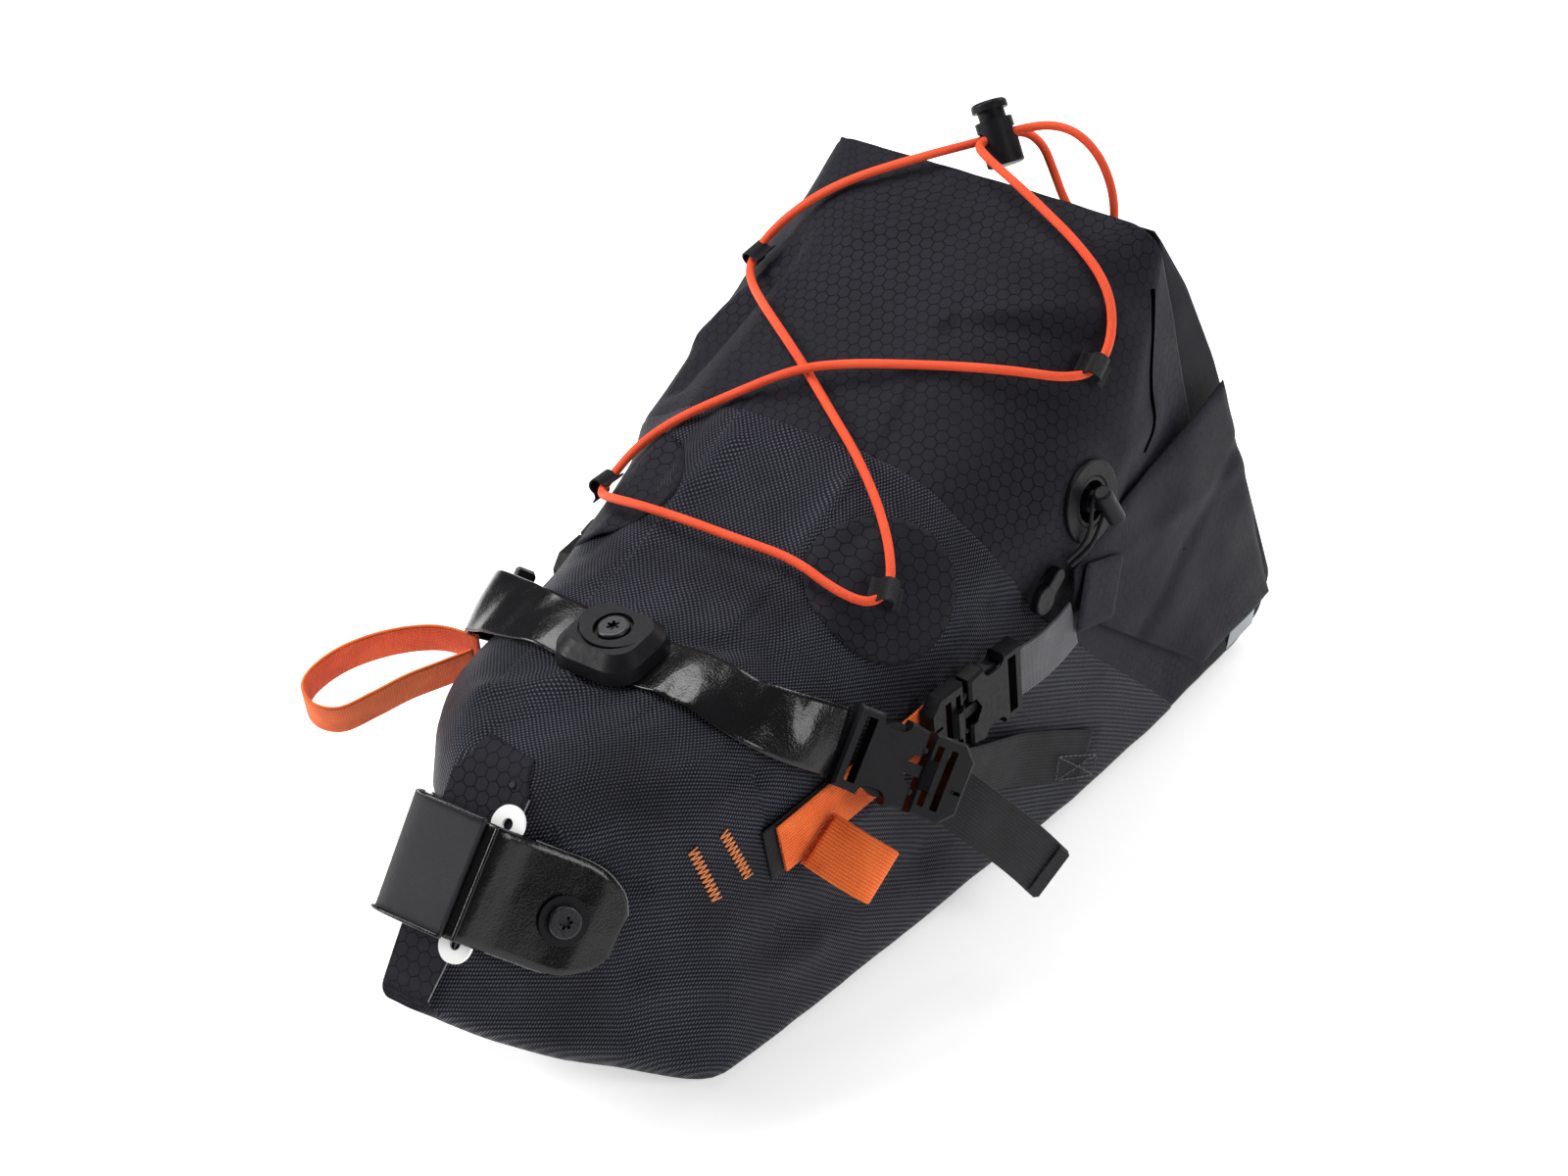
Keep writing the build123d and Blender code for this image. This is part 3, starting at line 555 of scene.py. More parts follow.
def smooth_line(points, step, tension=0.5):
    """A curve through the points (Catmull-Rom), sampled about every step. Extra columns are carried along."""
    points = np.array(points, float)
    padded = np.concatenate([[2 * points[0] - points[1]], points, [2 * points[-1] - points[-2]]])
    out = []
    for a, b, c, d in zip(padded, padded[1:], padded[2:], padded[3:]):
        count = max(2, int(round(np.linalg.norm((c - b)[:3]) / step)))
        t = np.linspace(0, 1, count, endpoint=False)[:, None]
        first, last = tension * (c - a), tension * (d - b)
        out.append((2 * t**3 - 3 * t**2 + 1) * b + (t**3 - 2 * t**2 + t) * first
                   + (3 * t**2 - 2 * t**3) * c + (t**3 - t**2) * last)
    out.append(padded[-2:-1])
    return np.concatenate(out)


def tube_grid(path, radius, sides=12, taper=True):
    """A round tube along a fine path, closed at its ends, with flat coordinates (round, along)."""
    path = np.array(path, float)
    ahead = np.gradient(path, axis=0)
    ahead /= np.linalg.norm(ahead, axis=1, keepdims=True)
    side = np.cross(ahead[0], (0.31, 0.17, 0.93))
    side /= np.linalg.norm(side)
    angles = np.linspace(0, 2 * pi, sides, endpoint=False)
    rows, lengths, total = [], [], 0.0
    for index, (point, way) in enumerate(zip(path, ahead)):
        side = side - way * side.dot(way)
        side /= np.linalg.norm(side)
        other = np.cross(way, side)
        if index:
            total += np.linalg.norm(point - path[index - 1])
        ring = np.outer(np.cos(angles), side) + np.outer(np.sin(angles), other)
        if index == 0 and taper:
            rows += [point + ring * 0.01 - way * radius * 0.5,
                     point + ring * radius * 0.7 - way * radius * 0.35]
            lengths += [0, 0]
        rows.append(point + ring * radius)
        lengths.append(total)
        if index == len(path) - 1 and taper:
            rows += [point + ring * radius * 0.7 + way * radius * 0.35,
                     point + ring * 0.01 + way * radius * 0.5]
            lengths += [total, total]
    round_it = np.linspace(0, 2 * pi * radius, sides + 1)
    flat = np.stack(np.meshgrid(round_it, lengths), axis=2)
    return np.array(rows), flat, True


def ribbon_grid(stations, thickness, step=2.0, width=WEBBING_WIDTH, wrinkle=None, crown=0.0):
    """Flat tape through stations of (middle, across) or (middle, across, width), closed all round."""
    table = [[*s[0], *unit(s[1]), s[2] if len(s) > 2 else width] for s in stations]
    line = smooth_line(table, step)
    middle, across, widths = line[:, :3], line[:, 3:6], line[:, 6]
    ahead = np.gradient(middle, axis=0)
    ahead /= np.linalg.norm(ahead, axis=1, keepdims=True)
    across = across - ahead * np.sum(across * ahead, axis=1, keepdims=True)
    across /= np.linalg.norm(across, axis=1, keepdims=True)
    up = np.cross(across, ahead)
    count = 14
    spread = np.linspace(-0.5, 0.5, count)
    edge = 0.5 * thickness
    shape = [(s, edge) for s in spread] + [(0.5, 0.0)] + [(s, -edge) for s in spread[::-1]] + [(-0.5, 0.0)]
    along = np.concatenate([[0], np.cumsum(np.linalg.norm(np.diff(middle, axis=0), axis=1))])
    columns, flat = [], []
    for share, lift in shape:
        inset = 0.35 * thickness if abs(lift) > 0 and abs(share) > 0.49 else 0.0
        place = np.sign(share) * (np.abs(share) * widths - inset)
        height = lift + crown * (1 - (2 * share) ** 2)
        if wrinkle is not None:
            height = height + wrinkle(along, place)
        rise = np.reshape(height * np.ones(len(along)), (-1, 1))
        columns.append(middle + across * place[:, None] + up * rise)
        flat.append(np.stack([place, along], axis=1))
    points = np.stack(columns, axis=1)
    flat = np.stack(flat + flat[:1], axis=1)
    start = np.repeat(points[:1].mean(axis=1, keepdims=True), points.shape[1], axis=1)
    end = np.repeat(points[-1:].mean(axis=1, keepdims=True), points.shape[1], axis=1)
    points = np.concatenate([start * 0.999 + points[:1] * 0.001, points, end * 0.999 + points[-1:] * 0.001])
    flat = np.concatenate([flat[:1], flat, flat[-1:]])
    return points, flat, True


def mirrored(grid):
    """The same grid on the other side."""
    points, flat, closed = grid
    return np.roll(points[:, ::-1], 1, axis=1) * (-1, 1, 1), flat[:, ::-1], closed


# ---- The bag's fabric ----

HALF_RING = [("top", 20), ("shoulder", 24), ("side", 34), ("corner", 8), ("bottom", 16)]


def ring_shares():
    """For each column of half a ring, from the top middle down: which stretch it is on, and how far along."""
    kinds, shares = [], []
    for kind, (_, count) in enumerate(HALF_RING):
        kinds += [kind] * count
        shares += list(np.linspace(0, 1, count, endpoint=kind == len(HALF_RING) - 1))
    return np.array(kinds), np.array(shares)


def monotone(x, y, q):
    """Monotone cubic interpolation, so that the smoothed bag never swells past its stations."""
    step, rise = np.diff(x), np.diff(y)
    slope = rise / step
    product = slope[:-1] * slope[1:]
    inner = np.where(product > 0, 2 * slope[:-1] * slope[1:] / (slope[:-1] + slope[1:] + 1e-12), 0)
    tangent = np.concatenate([[slope[0]], inner, [slope[-1]]])
    cell = np.clip(np.searchsorted(x, q) - 1, 0, len(x) - 2)
    t = (q - x[cell]) / step[cell]
    low, high = y[cell], y[cell + 1]
    first, last = tangent[cell] * step[cell], tangent[cell + 1] * step[cell]
    return ((2 * t**3 - 3 * t**2 + 1) * low + (t**3 - 2 * t**2 + t) * first
            + (3 * t**2 - 2 * t**3) * high + (t**3 - t**2) * last)


def station_places():
    """How far along the bag each station is, from 0 at the nose to 1 at the mouth."""
    middles = (STATIONS[:, 0:2] + STATIONS[:, 2:4]) / 2
    steps = np.linalg.norm(np.diff(middles, axis=0), axis=1)
    return np.concatenate([[0], np.cumsum(steps)]) / steps.sum()


KINDS, SHARES = ring_shares()
PLACES = station_places()


def half_section(kinds, shares, height, half_top, half_bottom, top_radius, bottom_radius):
    """One half of a rounded section: how far each column is across, and up from the section's middle."""
    half = height / 2
    lean = np.arctan2(half_bottom - half_top, height)
    shoulder = pi / 2 - lean
    corner = pi / 2 + lean
    top_cut = top_radius * np.tan(shoulder / 2)
    low_cut = bottom_radius * np.tan(corner / 2)
    down = np.stack([np.sin(lean), -np.cos(lean)])
    start = np.stack([half_top, half]) + down * top_cut
    end = np.stack([half_bottom, -half]) - down * low_cut
    turn = shares * shoulder
    low_turn = shoulder + shares * corner
    low_middle = end - np.stack([np.sin(shoulder), np.cos(shoulder)]) * bottom_radius
    x = np.select([kinds == k for k in range(5)], [
        shares * (half_top - top_cut),
        half_top - top_cut + top_radius * np.sin(turn),
        start[0] + (end[0] - start[0]) * shares,
        low_middle[0] + bottom_radius * np.sin(low_turn),
        (1 - shares) * (half_bottom - low_cut),
    ])
    y = np.select([kinds == k for k in range(5)], [
        half,
        half - top_radius + top_radius * np.cos(turn),
        start[1] + (end[1] - start[1]) * shares,
        low_middle[1] + bottom_radius * np.cos(low_turn),
        -half,
    ])
    return x, y


def bag_form(place):
    """Points of the smooth bag: one column for each share of the ring, from the bottom middle all round."""
    kinds = np.concatenate([KINDS[::-1], KINDS[1:-1]])
    shares = np.concatenate([SHARES[::-1], SHARES[1:-1]])
    hand = np.concatenate([-np.ones(len(KINDS)), np.ones(len(KINDS) - 2)])
    values = [monotone(PLACES, STATIONS[:, c], place) for c in range(8)]
    top_y, top_z, bottom_y, bottom_z, half_top = values[:5]
    rise_y, rise_z = top_y - bottom_y, top_z - bottom_z
    height = np.hypot(rise_y, rise_z)
    x, y = half_section(kinds, shares, height, *values[4:])
    fullness = np.sin(pi * np.clip(place * 1.02, 0, 1))
    x = x + np.where(kinds == 2, SWELL * fullness * np.sin(pi * shares), 0)
    y = y + np.where(kinds == 0, SWELL * fullness * (1 - (x / np.maximum(half_top, 1)) ** 2), 0)
    middle_y, middle_z = (top_y + bottom_y) / 2, (top_z + bottom_z) / 2
    return np.stack([x * hand, middle_y + y * rise_y / height, middle_z + y * rise_z / height], axis=-1)


def creases(points):
    """How far the folds, dents and slackness of the fabric move each point out of its smooth place."""
    flat = points.reshape(-1, 3)
    out = np.zeros(len(flat))
    for start, end, width, height in CREASES:
        start, end = np.array(start, float), np.array(end, float)
        run = end - start
        share = np.clip((flat - start) @ run / (run @ run), 0, 1)
        gap = np.linalg.norm(flat - start - share[:, None] * run, axis=1)
        out += FOLD_DEPTH * height * np.exp(-((gap / (FOLD_NARROWING * width)) ** 2))
    centre, reach, depth = UNDER_LOOP_DENT
    out += depth * np.exp(-((np.linalg.norm(flat - centre, axis=1) / reach) ** 2))
    slack = [
        1.0 * noise.noise(Vector(p) / 52) + 0.55 * noise.noise(Vector((p[0] / 15, p[1] / 60, p[2] / 40)))
        + 0.3 * noise.noise(Vector(p) / 13)
        for p in flat
    ]
    out += np.array(slack)
    out = np.where(flat[:, 1] < BRACED_NOSE, np.maximum(out, BRACED_SAG), out)
    return out.reshape(points.shape[:-1])


def smooth_step(value, low, high):
    t = np.clip((value - low) / (high - low), 0, 1)
    return t * t * (3 - 2 * t)


def press_under(points, normals, obstacles):
    """Presses the fabric in where a cord or strap of (points, clearance) lies on it."""
    tree = KDTree(sum(len(line) for line, _ in obstacles))
    clear = []
    for line, clearance in obstacles:
        for point in line:
            tree.insert(point, len(clear))
            clear.append(clearance)
    tree.balance()
    reach = 6.0
    moved = points.reshape(-1, 3).copy()
    for index, normal in enumerate(normals.reshape(-1, 3)):
        push = 0.0
        for found, number, _ in tree.find_range(moved[index], reach + 2.5):
            away = np.array(found) - moved[index]
            height = away @ normal
            aside = np.sqrt(max(away @ away - height * height, 0))
            need = clear[number] * (1 - (aside / reach) ** 2)
            push = max(push, min(need - height, 7.0))
        moved[index] -= normal * push
    return moved.reshape(points.shape)


def settle(points, lift, obstacles):
    """Wrinkles the form, flattens it at the valve and presses it under what lies on it, above the floor."""
    normals = normals_of(points, True)
    points = points + normals * (creases(points) + lift)[..., None]
    away = points - VALVE_CENTRE
    height = away @ VALVE_NORMAL
    radius = np.linalg.norm(away - height[..., None] * VALVE_NORMAL, axis=-1)
    near = (1 - smooth_step(radius, 19, 36)) * (np.abs(height) < 25)
    points = points - VALVE_NORMAL * (height * near)[..., None]
    points = press_under(points, normals_of(points, True), obstacles)
    points[..., 2] = np.maximum(points[..., 2], FLOOR_GAP)
    return points


def edge_places(columns):
    """Where the woven panel's edge crosses each column of the bag."""
    low, high = np.zeros(columns), np.ones(columns)
    for _ in range(24):
        middle = (low + high) / 2
        at = bag_form(middle[None, :])[0]
        past = at[:, 1] > np.interp(at[:, 2], PANEL_EDGE[:, 0], PANEL_EDGE[:, 1])
        low, high = np.where(past, low, middle), np.where(past, middle, high)
    return (low + high) / 2


def bag_fabric(obstacles):
    """The woven front panel, welded over the ripstop tube behind it."""
    columns = 2 * len(KINDS) - 2
    edge = edge_places(columns)
    front_rows = np.linspace(0, 1, 112)[:, None] ** 0.9 * edge
    front = bag_form(front_rows)
    lift = np.full(front.shape[:2], 0.5)
    lift[-1] = PATCH_EDGE_DIP
    front = settle(front, lift, obstacles)
    middle = front[0].mean(axis=0)
    shares = (0.02, 0.3, 0.6, 0.85, 0.97)
    cap = [middle + (front[0] - middle) * k - (0, 1.2 * (1 - k * k), 0) for k in shares]
    front = np.concatenate([cap, front])
    first = np.clip(edge - 0.02, 0, 1)
    rear_rows = first + np.linspace(0, 1, 100)[:, None] * (1 - first)
    rear = bag_form(rear_rows)
    under = np.full(rear.shape[:2], 0.0)
    under[0:2] = -0.9
    rear = settle(rear, under, obstacles)
    return front, rear


def hole_in(made, centre, radius):
    """Opens a round hole in a piece, at a point in millimetres."""
    work = bmesh.new()
    work.from_mesh(made.data)
    gone = [f for f in work.faces if (f.calc_center_median() / MM - Vector(centre)).length < radius]
    bmesh.ops.delete(work, geom=gone, context="FACES")
    work.to_mesh(made.data)
    work.free()


def thicken(made, thickness):
    layer = made.modifiers.new("thickness", "SOLIDIFY")
    layer.thickness = thickness * MM
    layer.offset = -1


def bag_surface(*grids):
    """A tree of the bag's outer faces, for laying patches and stitches on it."""
    points, faces = [], []
    for rows in grids:
        start = len(points)
        points += [tuple(p) for p in rows.reshape(-1, 3)]
        count = rows.shape[1]
        for i in range(rows.shape[0] - 1):
            for j in range(count):
                k = (j + 1) % count
                faces.append((start + i * count + j, start + i * count + k,
                              start + (i + 1) * count + k, start + (i + 1) * count + j))
    return BVHTree.FromPolygons(points, faces)


def on_bag(point, way, lift):
    """The point of the bag's surface seen from outside along -way, lifted off it."""
    start = Vector(point) + Vector(way) * 60
    place, normal, _, _ = SURFACE.ray_cast(start, -Vector(way), 120)
    if place is None:
        place, normal, _, _ = SURFACE.find_nearest(Vector(point))
    return np.array(place + normal * lift), np.array(normal)


# ---- Patches ----

def resample(outline, step):
    """A closed outline with points about every step, its corners kept."""
    out = []
    for a, b in zip(outline, list(outline[1:]) + [outline[0]]):
        a, b = np.array(a, float), np.array(b, float)
        count = max(1, int(round(np.linalg.norm(b - a) / step)))
        out += [a + (b - a) * t for t in np.linspace(0, 1, count, endpoint=False)]
    return np.array(out)


def clockwise(outline):
    x, y = outline[:, 0], outline[:, 1]
    area = np.sum(x * np.roll(y, -1) - np.roll(x, -1) * y)
    return outline[::-1] if area > 0 else outline


def rounded(outline, times=3):
    """A closed outline with its corners cut round (Chaikin)."""
    points = np.array(outline, float)
    for _ in range(times):
        after = np.roll(points, -1, axis=0)
        points = np.stack([points * 0.75 + after * 0.25, points * 0.25 + after * 0.75], axis=1).reshape(-1, 2)
    return points


def disc(radius, count=72):
    turn = np.linspace(0, 2 * pi, count, endpoint=False)
    return np.stack([np.cos(turn), np.sin(turn)], axis=1) * radius


def laid_patch(outline, origin, x_way, way, lift=0.75, step=2.5):
    """A thin patch that follows the bag's surface: its outline is flat, seen along way."""
    way, x_way = unit(way), unit(x_way)
    x_way = unit(x_way - way * x_way.dot(way))
    y_way = np.cross(way, x_way)
    edge = clockwise(resample(np.array(outline, float), step))
    middle = edge.mean(axis=0)
    reach = np.linalg.norm(edge - middle, axis=1).max()
    shares = list(np.linspace(0.01, 1.0, max(4, int(reach / step)))) + [1.0]
    lifts = [lift] * (len(shares) - 1) + [PATCH_EDGE_DIP]
    rows, flat = [], []
    for share, height in zip(shares, lifts):
        ring = middle + (edge - middle) * share
        rows.append([on_bag(origin + x_way * a + y_way * b, way, height)[0] for a, b in ring])
        flat.append(np.concatenate([ring, ring[:1]]))
    points = np.array(rows)
    points[..., 2] = np.maximum(points[..., 2], FLOOR_GAP)
    return points, np.array(flat), True


def pillow(outline, origin, x_way, way, thickness, shape=None, step=3.0, hardness=16):
    """A closed flat pad with rounded edges. It lies from its plane to thickness above it."""
    way, x_way = unit(way), unit(x_way)
    y_way = np.cross(way, x_way)
    edge = clockwise(resample(np.array(outline, float), step))
    middle = edge.mean(axis=0)
    reach = np.linalg.norm(edge - middle, axis=1).max()
    inner = list(np.linspace(0.01, 0.92, max(5, int(reach / step))))
    shares = inner + [0.96, 0.985, 1.0]
    full = [1 - s**hardness for s in shares]
    heights = [thickness * (0.5 + 0.5 * f) for f in full]
    heights += [thickness * (0.5 - 0.5 * f) for f in full[-2::-1]]
    shares = shares + shares[-2::-1]
    rows, flat = [], []
    for share, height in zip(shares, heights):
        ring = middle + (edge - middle) * share
        rise = height + (shape(ring) if shape is not None else 0)
        rows.append(origin + np.outer(ring[:, 0], x_way) + np.outer(ring[:, 1], y_way)
                    + np.outer(np.ones(len(ring)) * rise, way))
        flat.append(np.concatenate([ring, ring[:1]]))
    return np.array(rows), np.array(flat), True


def patches():
    round_patch = laid_patch(disc(31.5), np.array((71, -54, 173)), (0, 1, 0), (0.78, -0.22, 0.58), 0.9)
    piece("loop_patch_fabric", [round_patch, mirrored(round_patch)], RIPSTOP,
          ["loop_patches"])
    anchor = laid_patch([(20, 64), (84, 26), (86, 14), (12, 14)], np.zeros(3), (0, 1, 0), (1, 0, 0), 1.0)
    piece("anchor_patch_fabric", [anchor, mirrored(anchor)], WOVEN, ["anchor_patches"])
    band = laid_patch([(-66, 22), (-36, 22), (-16, 4), (-46, 4)], np.zeros(3), (0, 1, 0), (1, 0, 0), 1.6)
    piece("lower_band_fabric", [band, mirrored(band)], BLACK_TAPE, ["lower_bands"])
    outline = [(-12, -51), (-19, 38), (-13, 48), (-12, 56), (14, 53), (20, 38), (12, -51)]
    face = laid_patch(outline, NOSE_MIDDLE, (1, 0, 0), NOSE_NORMAL, 0.8)
    piece("nose_patch_fabric", [face], RIPSTOP, ["nose_patch"])
    place = NOSE_MIDDLE + (11, 0, 0) + POST_AXIS * 41
    eyelet = laid_patch(disc(1.6, 20), place, (1, 0, 0), NOSE_NORMAL, 1.2, 0.5)
    piece("nose_patch_hole", [eyelet], PLASTIC)


# ---- Roll closure ----

def roll_closure():
    profile = rounded(resample(ROLL, ROLL_SPACING), 2)
    spots = list(np.linspace(ROLL_HALF, -ROLL_HALF, 60))
    ends = [(ROLL_HALF, 0.02), (ROLL_HALF, 0.5), (ROLL_HALF, 0.9), (ROLL_HALF - 0.3, 0.97)]
    rows = ends + [(x, 1.0) for x in spots[1:-1]] + [(-x, k) for x, k in reversed(ends)]
    profile = resample(profile, 4)
    middle = profile.mean(axis=0)
    grid = []
    for x, share in rows:
        ring = middle + (profile - middle) * share
        grid.append(np.column_stack([np.full(len(ring), x), ring]))
    points = np.array(grid)
    behind = smooth_step(points[..., 1] - np.interp(points[..., 2], [0, 260], [205, 130]), -4, 2)
    folds = 1.6 * np.exp(-((points[..., 2] - 84) / 5) ** 2) + 1.2 * np.exp(-((points[..., 2] - 128) / 4) ** 2)
    slack = np.array([noise.noise(Vector((p[0] / 45, p[1] / 30, p[2] / 14))) for p in points.reshape(-1, 3)])
    shift = behind * (1.6 * slack.reshape(folds.shape) - folds) * (np.abs(points[..., 0]) < ROLL_HALF - 1)
    points[..., 1] += shift
    points[..., 2] = np.maximum(points[..., 2], FLOOR_GAP)
    flat = flat_coordinates(points, True)
    piece("roll_closure_fabric", [(points, flat, True)], ROLL_RIPSTOP_SHADED, ["roll_closure"])


def ears():
    """The ends of the roll, folded forward along each side."""
    way = unit((1, 0.072, 0))
    x_way = unit((-0.072, 1, 0))
    outline = [(y - 60, z) for y, z in EAR]

    def folds(ring):
        lower = np.exp(-((ring[:, 1] - 60 - 0.55 * ring[:, 0]) / 7) ** 2)
        upper = np.exp(-((ring[:, 1] - 132 + 0.16 * ring[:, 0]) / 6) ** 2)
        ripple = np.array([noise.noise(Vector((a / 30, b / 22, 1.7))) for a, b in ring])
        return 1.2 * ripple - 1.1 * lower + 0.8 * upper

    left = pillow(outline, np.array((99.6, 60, 0)), x_way, way, 4.0, folds, 3.0, 24)
    piece("ear_fabric_left", [left], ROLL_RIPSTOP_SHADED, ["closure_ear_left"])
    piece("ear_fabric_right", [mirrored(left)], ROLL_RIPSTOP_SHADED, ["closure_ear_right"])
    turn = radians(-20)
    square = rounded(resample(np.array([(-17, -16), (17, -15), (17, 15), (-17, 16)], float), 6), 2)
    turned = np.column_stack([
        square[:, 0] * cos(turn) - square[:, 1] * sin(turn) - 10,
        square[:, 0] * sin(turn) + square[:, 1] * cos(turn) + 124,
    ])
    cuff = pillow(turned, np.array((99.6, 60, 0)) + way * 4.3, x_way, way, 2.6, None, 2.0, 12)
    piece("cuff_fabric", [cuff, mirrored(cuff)], ROLL_RIPSTOP_SHADED, ["closure_cuffs"])


def reflector():
    way = unit((0, 0.953, 0.303))
    strip = rounded(resample([(-60, -13), (60, -13), (60, 13), (-60, 13)], 6), 2)
    back = pillow(strip, np.array((0, 214.3, 60)), (-1, 0, 0), way, 0.8, None, 4.0, 30)
    side_outline = [(-12, 0), (11, 2), (17, 20), (-2, 20)]
    side = pillow(side_outline, np.array((86.6, 193, 8)), (0, 1, 0), (1, 0, 0), 0.6)
    piece("reflector_print", [back, side, mirrored(side)], SILVER, ["rear_reflector"])


# ---- Webbing and straps ----

ALONG_BAG = (0, 0.994, 0.109)
BUCKLE_ACROSS = (0, 0.675, 0.738)
RAIL_STRAP_HALF = [
    ((0, -144, 169.0), ALONG_BAG),
    ((20, -144, 169.2), ALONG_BAG),
    ((34, -143.5, 170.2), ALONG_BAG),
    ((50, -142.5, 168.2), (-0.05, 0.98, 0.15)),
    ((66, -139, 160.6), (-0.2, 0.93, 0.3)),
    ((78.5, -127.5, 150), (-0.15, 0.8, 0.57)),
    ((88.2, -112.2, 137.6), BUCKLE_ACROSS),
]
RAIL_STRAP_FAR_END = [
    ((-90.5, -114, 137.8), (0, 0.675, 0.738)),
    ((-92, -125, 147), (0.02, 0.72, 0.7)),
    ((-84, -132.5, 156), (0.05, 0.8, 0.6)),
    ((-68, -138.5, 163), (0.08, 0.9, 0.43)),
    ((-50, -142.5, 168.2), (0.05, 0.97, 0.24)),
    ((-34, -143.5, 170.2), ALONG_BAG),
    ((-20, -144, 169.2), ALONG_BAG),
]
RAIL_WEBBING_FIXED = [
    ((94.6, 52, 30), (0, 0.55, 0.83)),
    ((94.6, 25, 46.5), (0, 0.55, 0.83)),
    ((95.4, 0, 61), (0, 0.55, 0.83)),
    ((101.5, -28, 77), (0, 0.58, 0.81)),
    ((107.5, -56, 93), (0, 0.62, 0.78)),
    ((109.5, -72, 103), BUCKLE_ACROSS),
    ((110.3, -80, 107.6), BUCKLE_ACROSS),
]
RAIL_WEBBING_TAIL = [
    ((110.5, -80.5, 107.5), BUCKLE_ACROSS),
    ((118, -77, 100), BUCKLE_ACROSS),
    ((125, -66, 84), (0.1, 0.75, 0.65)),
    ((130, -46, 57), (0.15, 0.78, 0.61)),
    ((131, -28, 32), (0.2, 0.78, 0.6)),
]
CLOSURE_WEBBING = [
    ((81.4, -146, 101.5), (0, 0, 1)),
    ((86, -112, 106.5), (0, 0, 1)),
    ((90, -88, 111), (0, 0, 1)),
    ((94.4, -70, 116), (0, 0, 1)),
    ((95.4, -58, 118), (0, 0, 1)),
]
BASE_WEBBING = [((78.6, -152, 100.5), (0, 0, 1)), ((84.2, -112, 105.5), (0, 0, 1))]
CLOSURE_STRAP = [
    ((104.6, -9.8, 117), (0, 0, 1)),
    ((105.2, 4, 116), (0, 0, 1)),
    ((105.2, 18, 116.5), (0, 0, 1)),
    ((105, 31, 119), (0, 0.1, 1)),
]
PULL_OUT, PULL_ACROSS, PULL_BASE = (0.80, 0.30, -0.52), (-0.10, -0.80, -0.60), (87, -129, 99)
LEFT_LOOP_KINK = 0.25
PULL_LOOP = [(0, -2), (11, -3.5), (22, -5), (29, -4.4), (31.5, -1.4), (29, 2), (21, 3.6), (10, 3), (1, 1)]
RIGHT_OUT, RIGHT_ACROSS, RIGHT_BASE = (-0.79, -0.61, 0.06), (0.35, -0.37, 0.86), (-92, -131, 124)
RIGHT_LOOP = [
    (0, -3), (18, -8), (38, -6), (57, 1), (70, 11), (74, 20), (69, 28), (58, 30), (44, 23), (30, 15),
    (16, 9), (2, 3),
]
# Each station is (across the nose, out of the nose, width)
POST_STRAP_PATH = [
    (53.6, -45, 20), (51.1, -40.5, 34), (46.1, -32, 45), (40.1, -24.5, 49), (33, -14, 49),
    (26.4, -4, 49), (22.8, 3, 49), (19.5, 8.5, 49), (14.5, 10.8, 49), (2, 11.4, 49), (-10, 11.4, 49),
    (-17, 10.4, 49), (-21.4, 7.4, 49), (-22.8, 3, 49), (-25.4, -3.4, 49), (-33, -14, 49),
    (-40.1, -24.5, 49), (-46.1, -32, 45), (-51.1, -40.5, 34), (-53.6, -45, 20),
]
PAD_PATH = [(14, 13.3, 51), (2, 14, 51), (-11, 13.9, 51), (-18.4, 12.7, 51), (-24, 8.9, 51), (-25.6, 3, 51)]


def both_ways(half):
    """Stations from the right side to the left, from the left half's."""
    right = [((-p[0], p[1], p[2]), (-a[0], a[1], a[2])) for p, a in reversed(half)]
    return right[:-1] + half


def rail_strap():
    def ripple(along, place):
        middle = along.max() / 2
        free = smooth_step(np.abs(along - middle), 26, 40)
        wave = np.array([noise.noise(Vector((a / 11, p / 26, 3.1))) for a, p in zip(along, place)])
        return 1.1 * free * wave
    strap = ribbon_grid(RAIL_STRAP_FAR_END + RAIL_STRAP_HALF, 1.6, 1.5, RAIL_STRAP_WIDTH, ripple, -0.5)
    piece("rail_strap_tape", [strap], COATED, ["rail_strap"])


def side_webbing():
    def soft(along, place):
        return 0.35 * np.array([noise.noise(Vector((a / 16, p / 30, 7.7))) for a, p in zip(along, place)])
    fixed = ribbon_grid(RAIL_WEBBING_FIXED, TAPE_THICKNESS, wrinkle=soft)
    tail = ribbon_grid(RAIL_WEBBING_TAIL, TAPE_THICKNESS, wrinkle=soft)
    end = np.array(RAIL_WEBBING_TAIL[-1][0], float)
    way = unit(end - RAIL_WEBBING_TAIL[-2][0])
    across = RAIL_WEBBING_TAIL[-1][1]
    folded = [(end - way * 10, across), (end - way * 5, across), (end + way * 0.2, across)]
    fold = ribbon_grid(folded, 4.2, 1.0)
    for side, flip in (("left", lambda g: g), ("right", mirrored)):
        piece(f"rail_webbing_tape_{side}", [flip(fixed), flip(tail), flip(fold)], BLACK_TAPE,
              [f"rail_webbing_{side}"])
        closure = flip(ribbon_grid(CLOSURE_WEBBING, TAPE_THICKNESS))
        piece(f"closure_webbing_tape_{side}", [closure], ORANGE,
              [f"closure_webbing_{side}"])
    base = ribbon_grid(BASE_WEBBING, 1.0, width=BASE_WIDTH)
    piece("base_webbing_tape", [base, mirrored(base)], BLACK_TAPE, ["base_webbing"])
    strap = ribbon_grid(CLOSURE_STRAP, TAPE_THICKNESS)
    piece("closure_strap_tape", [strap, mirrored(strap)], GREY_TAPE, ["closure_straps"])


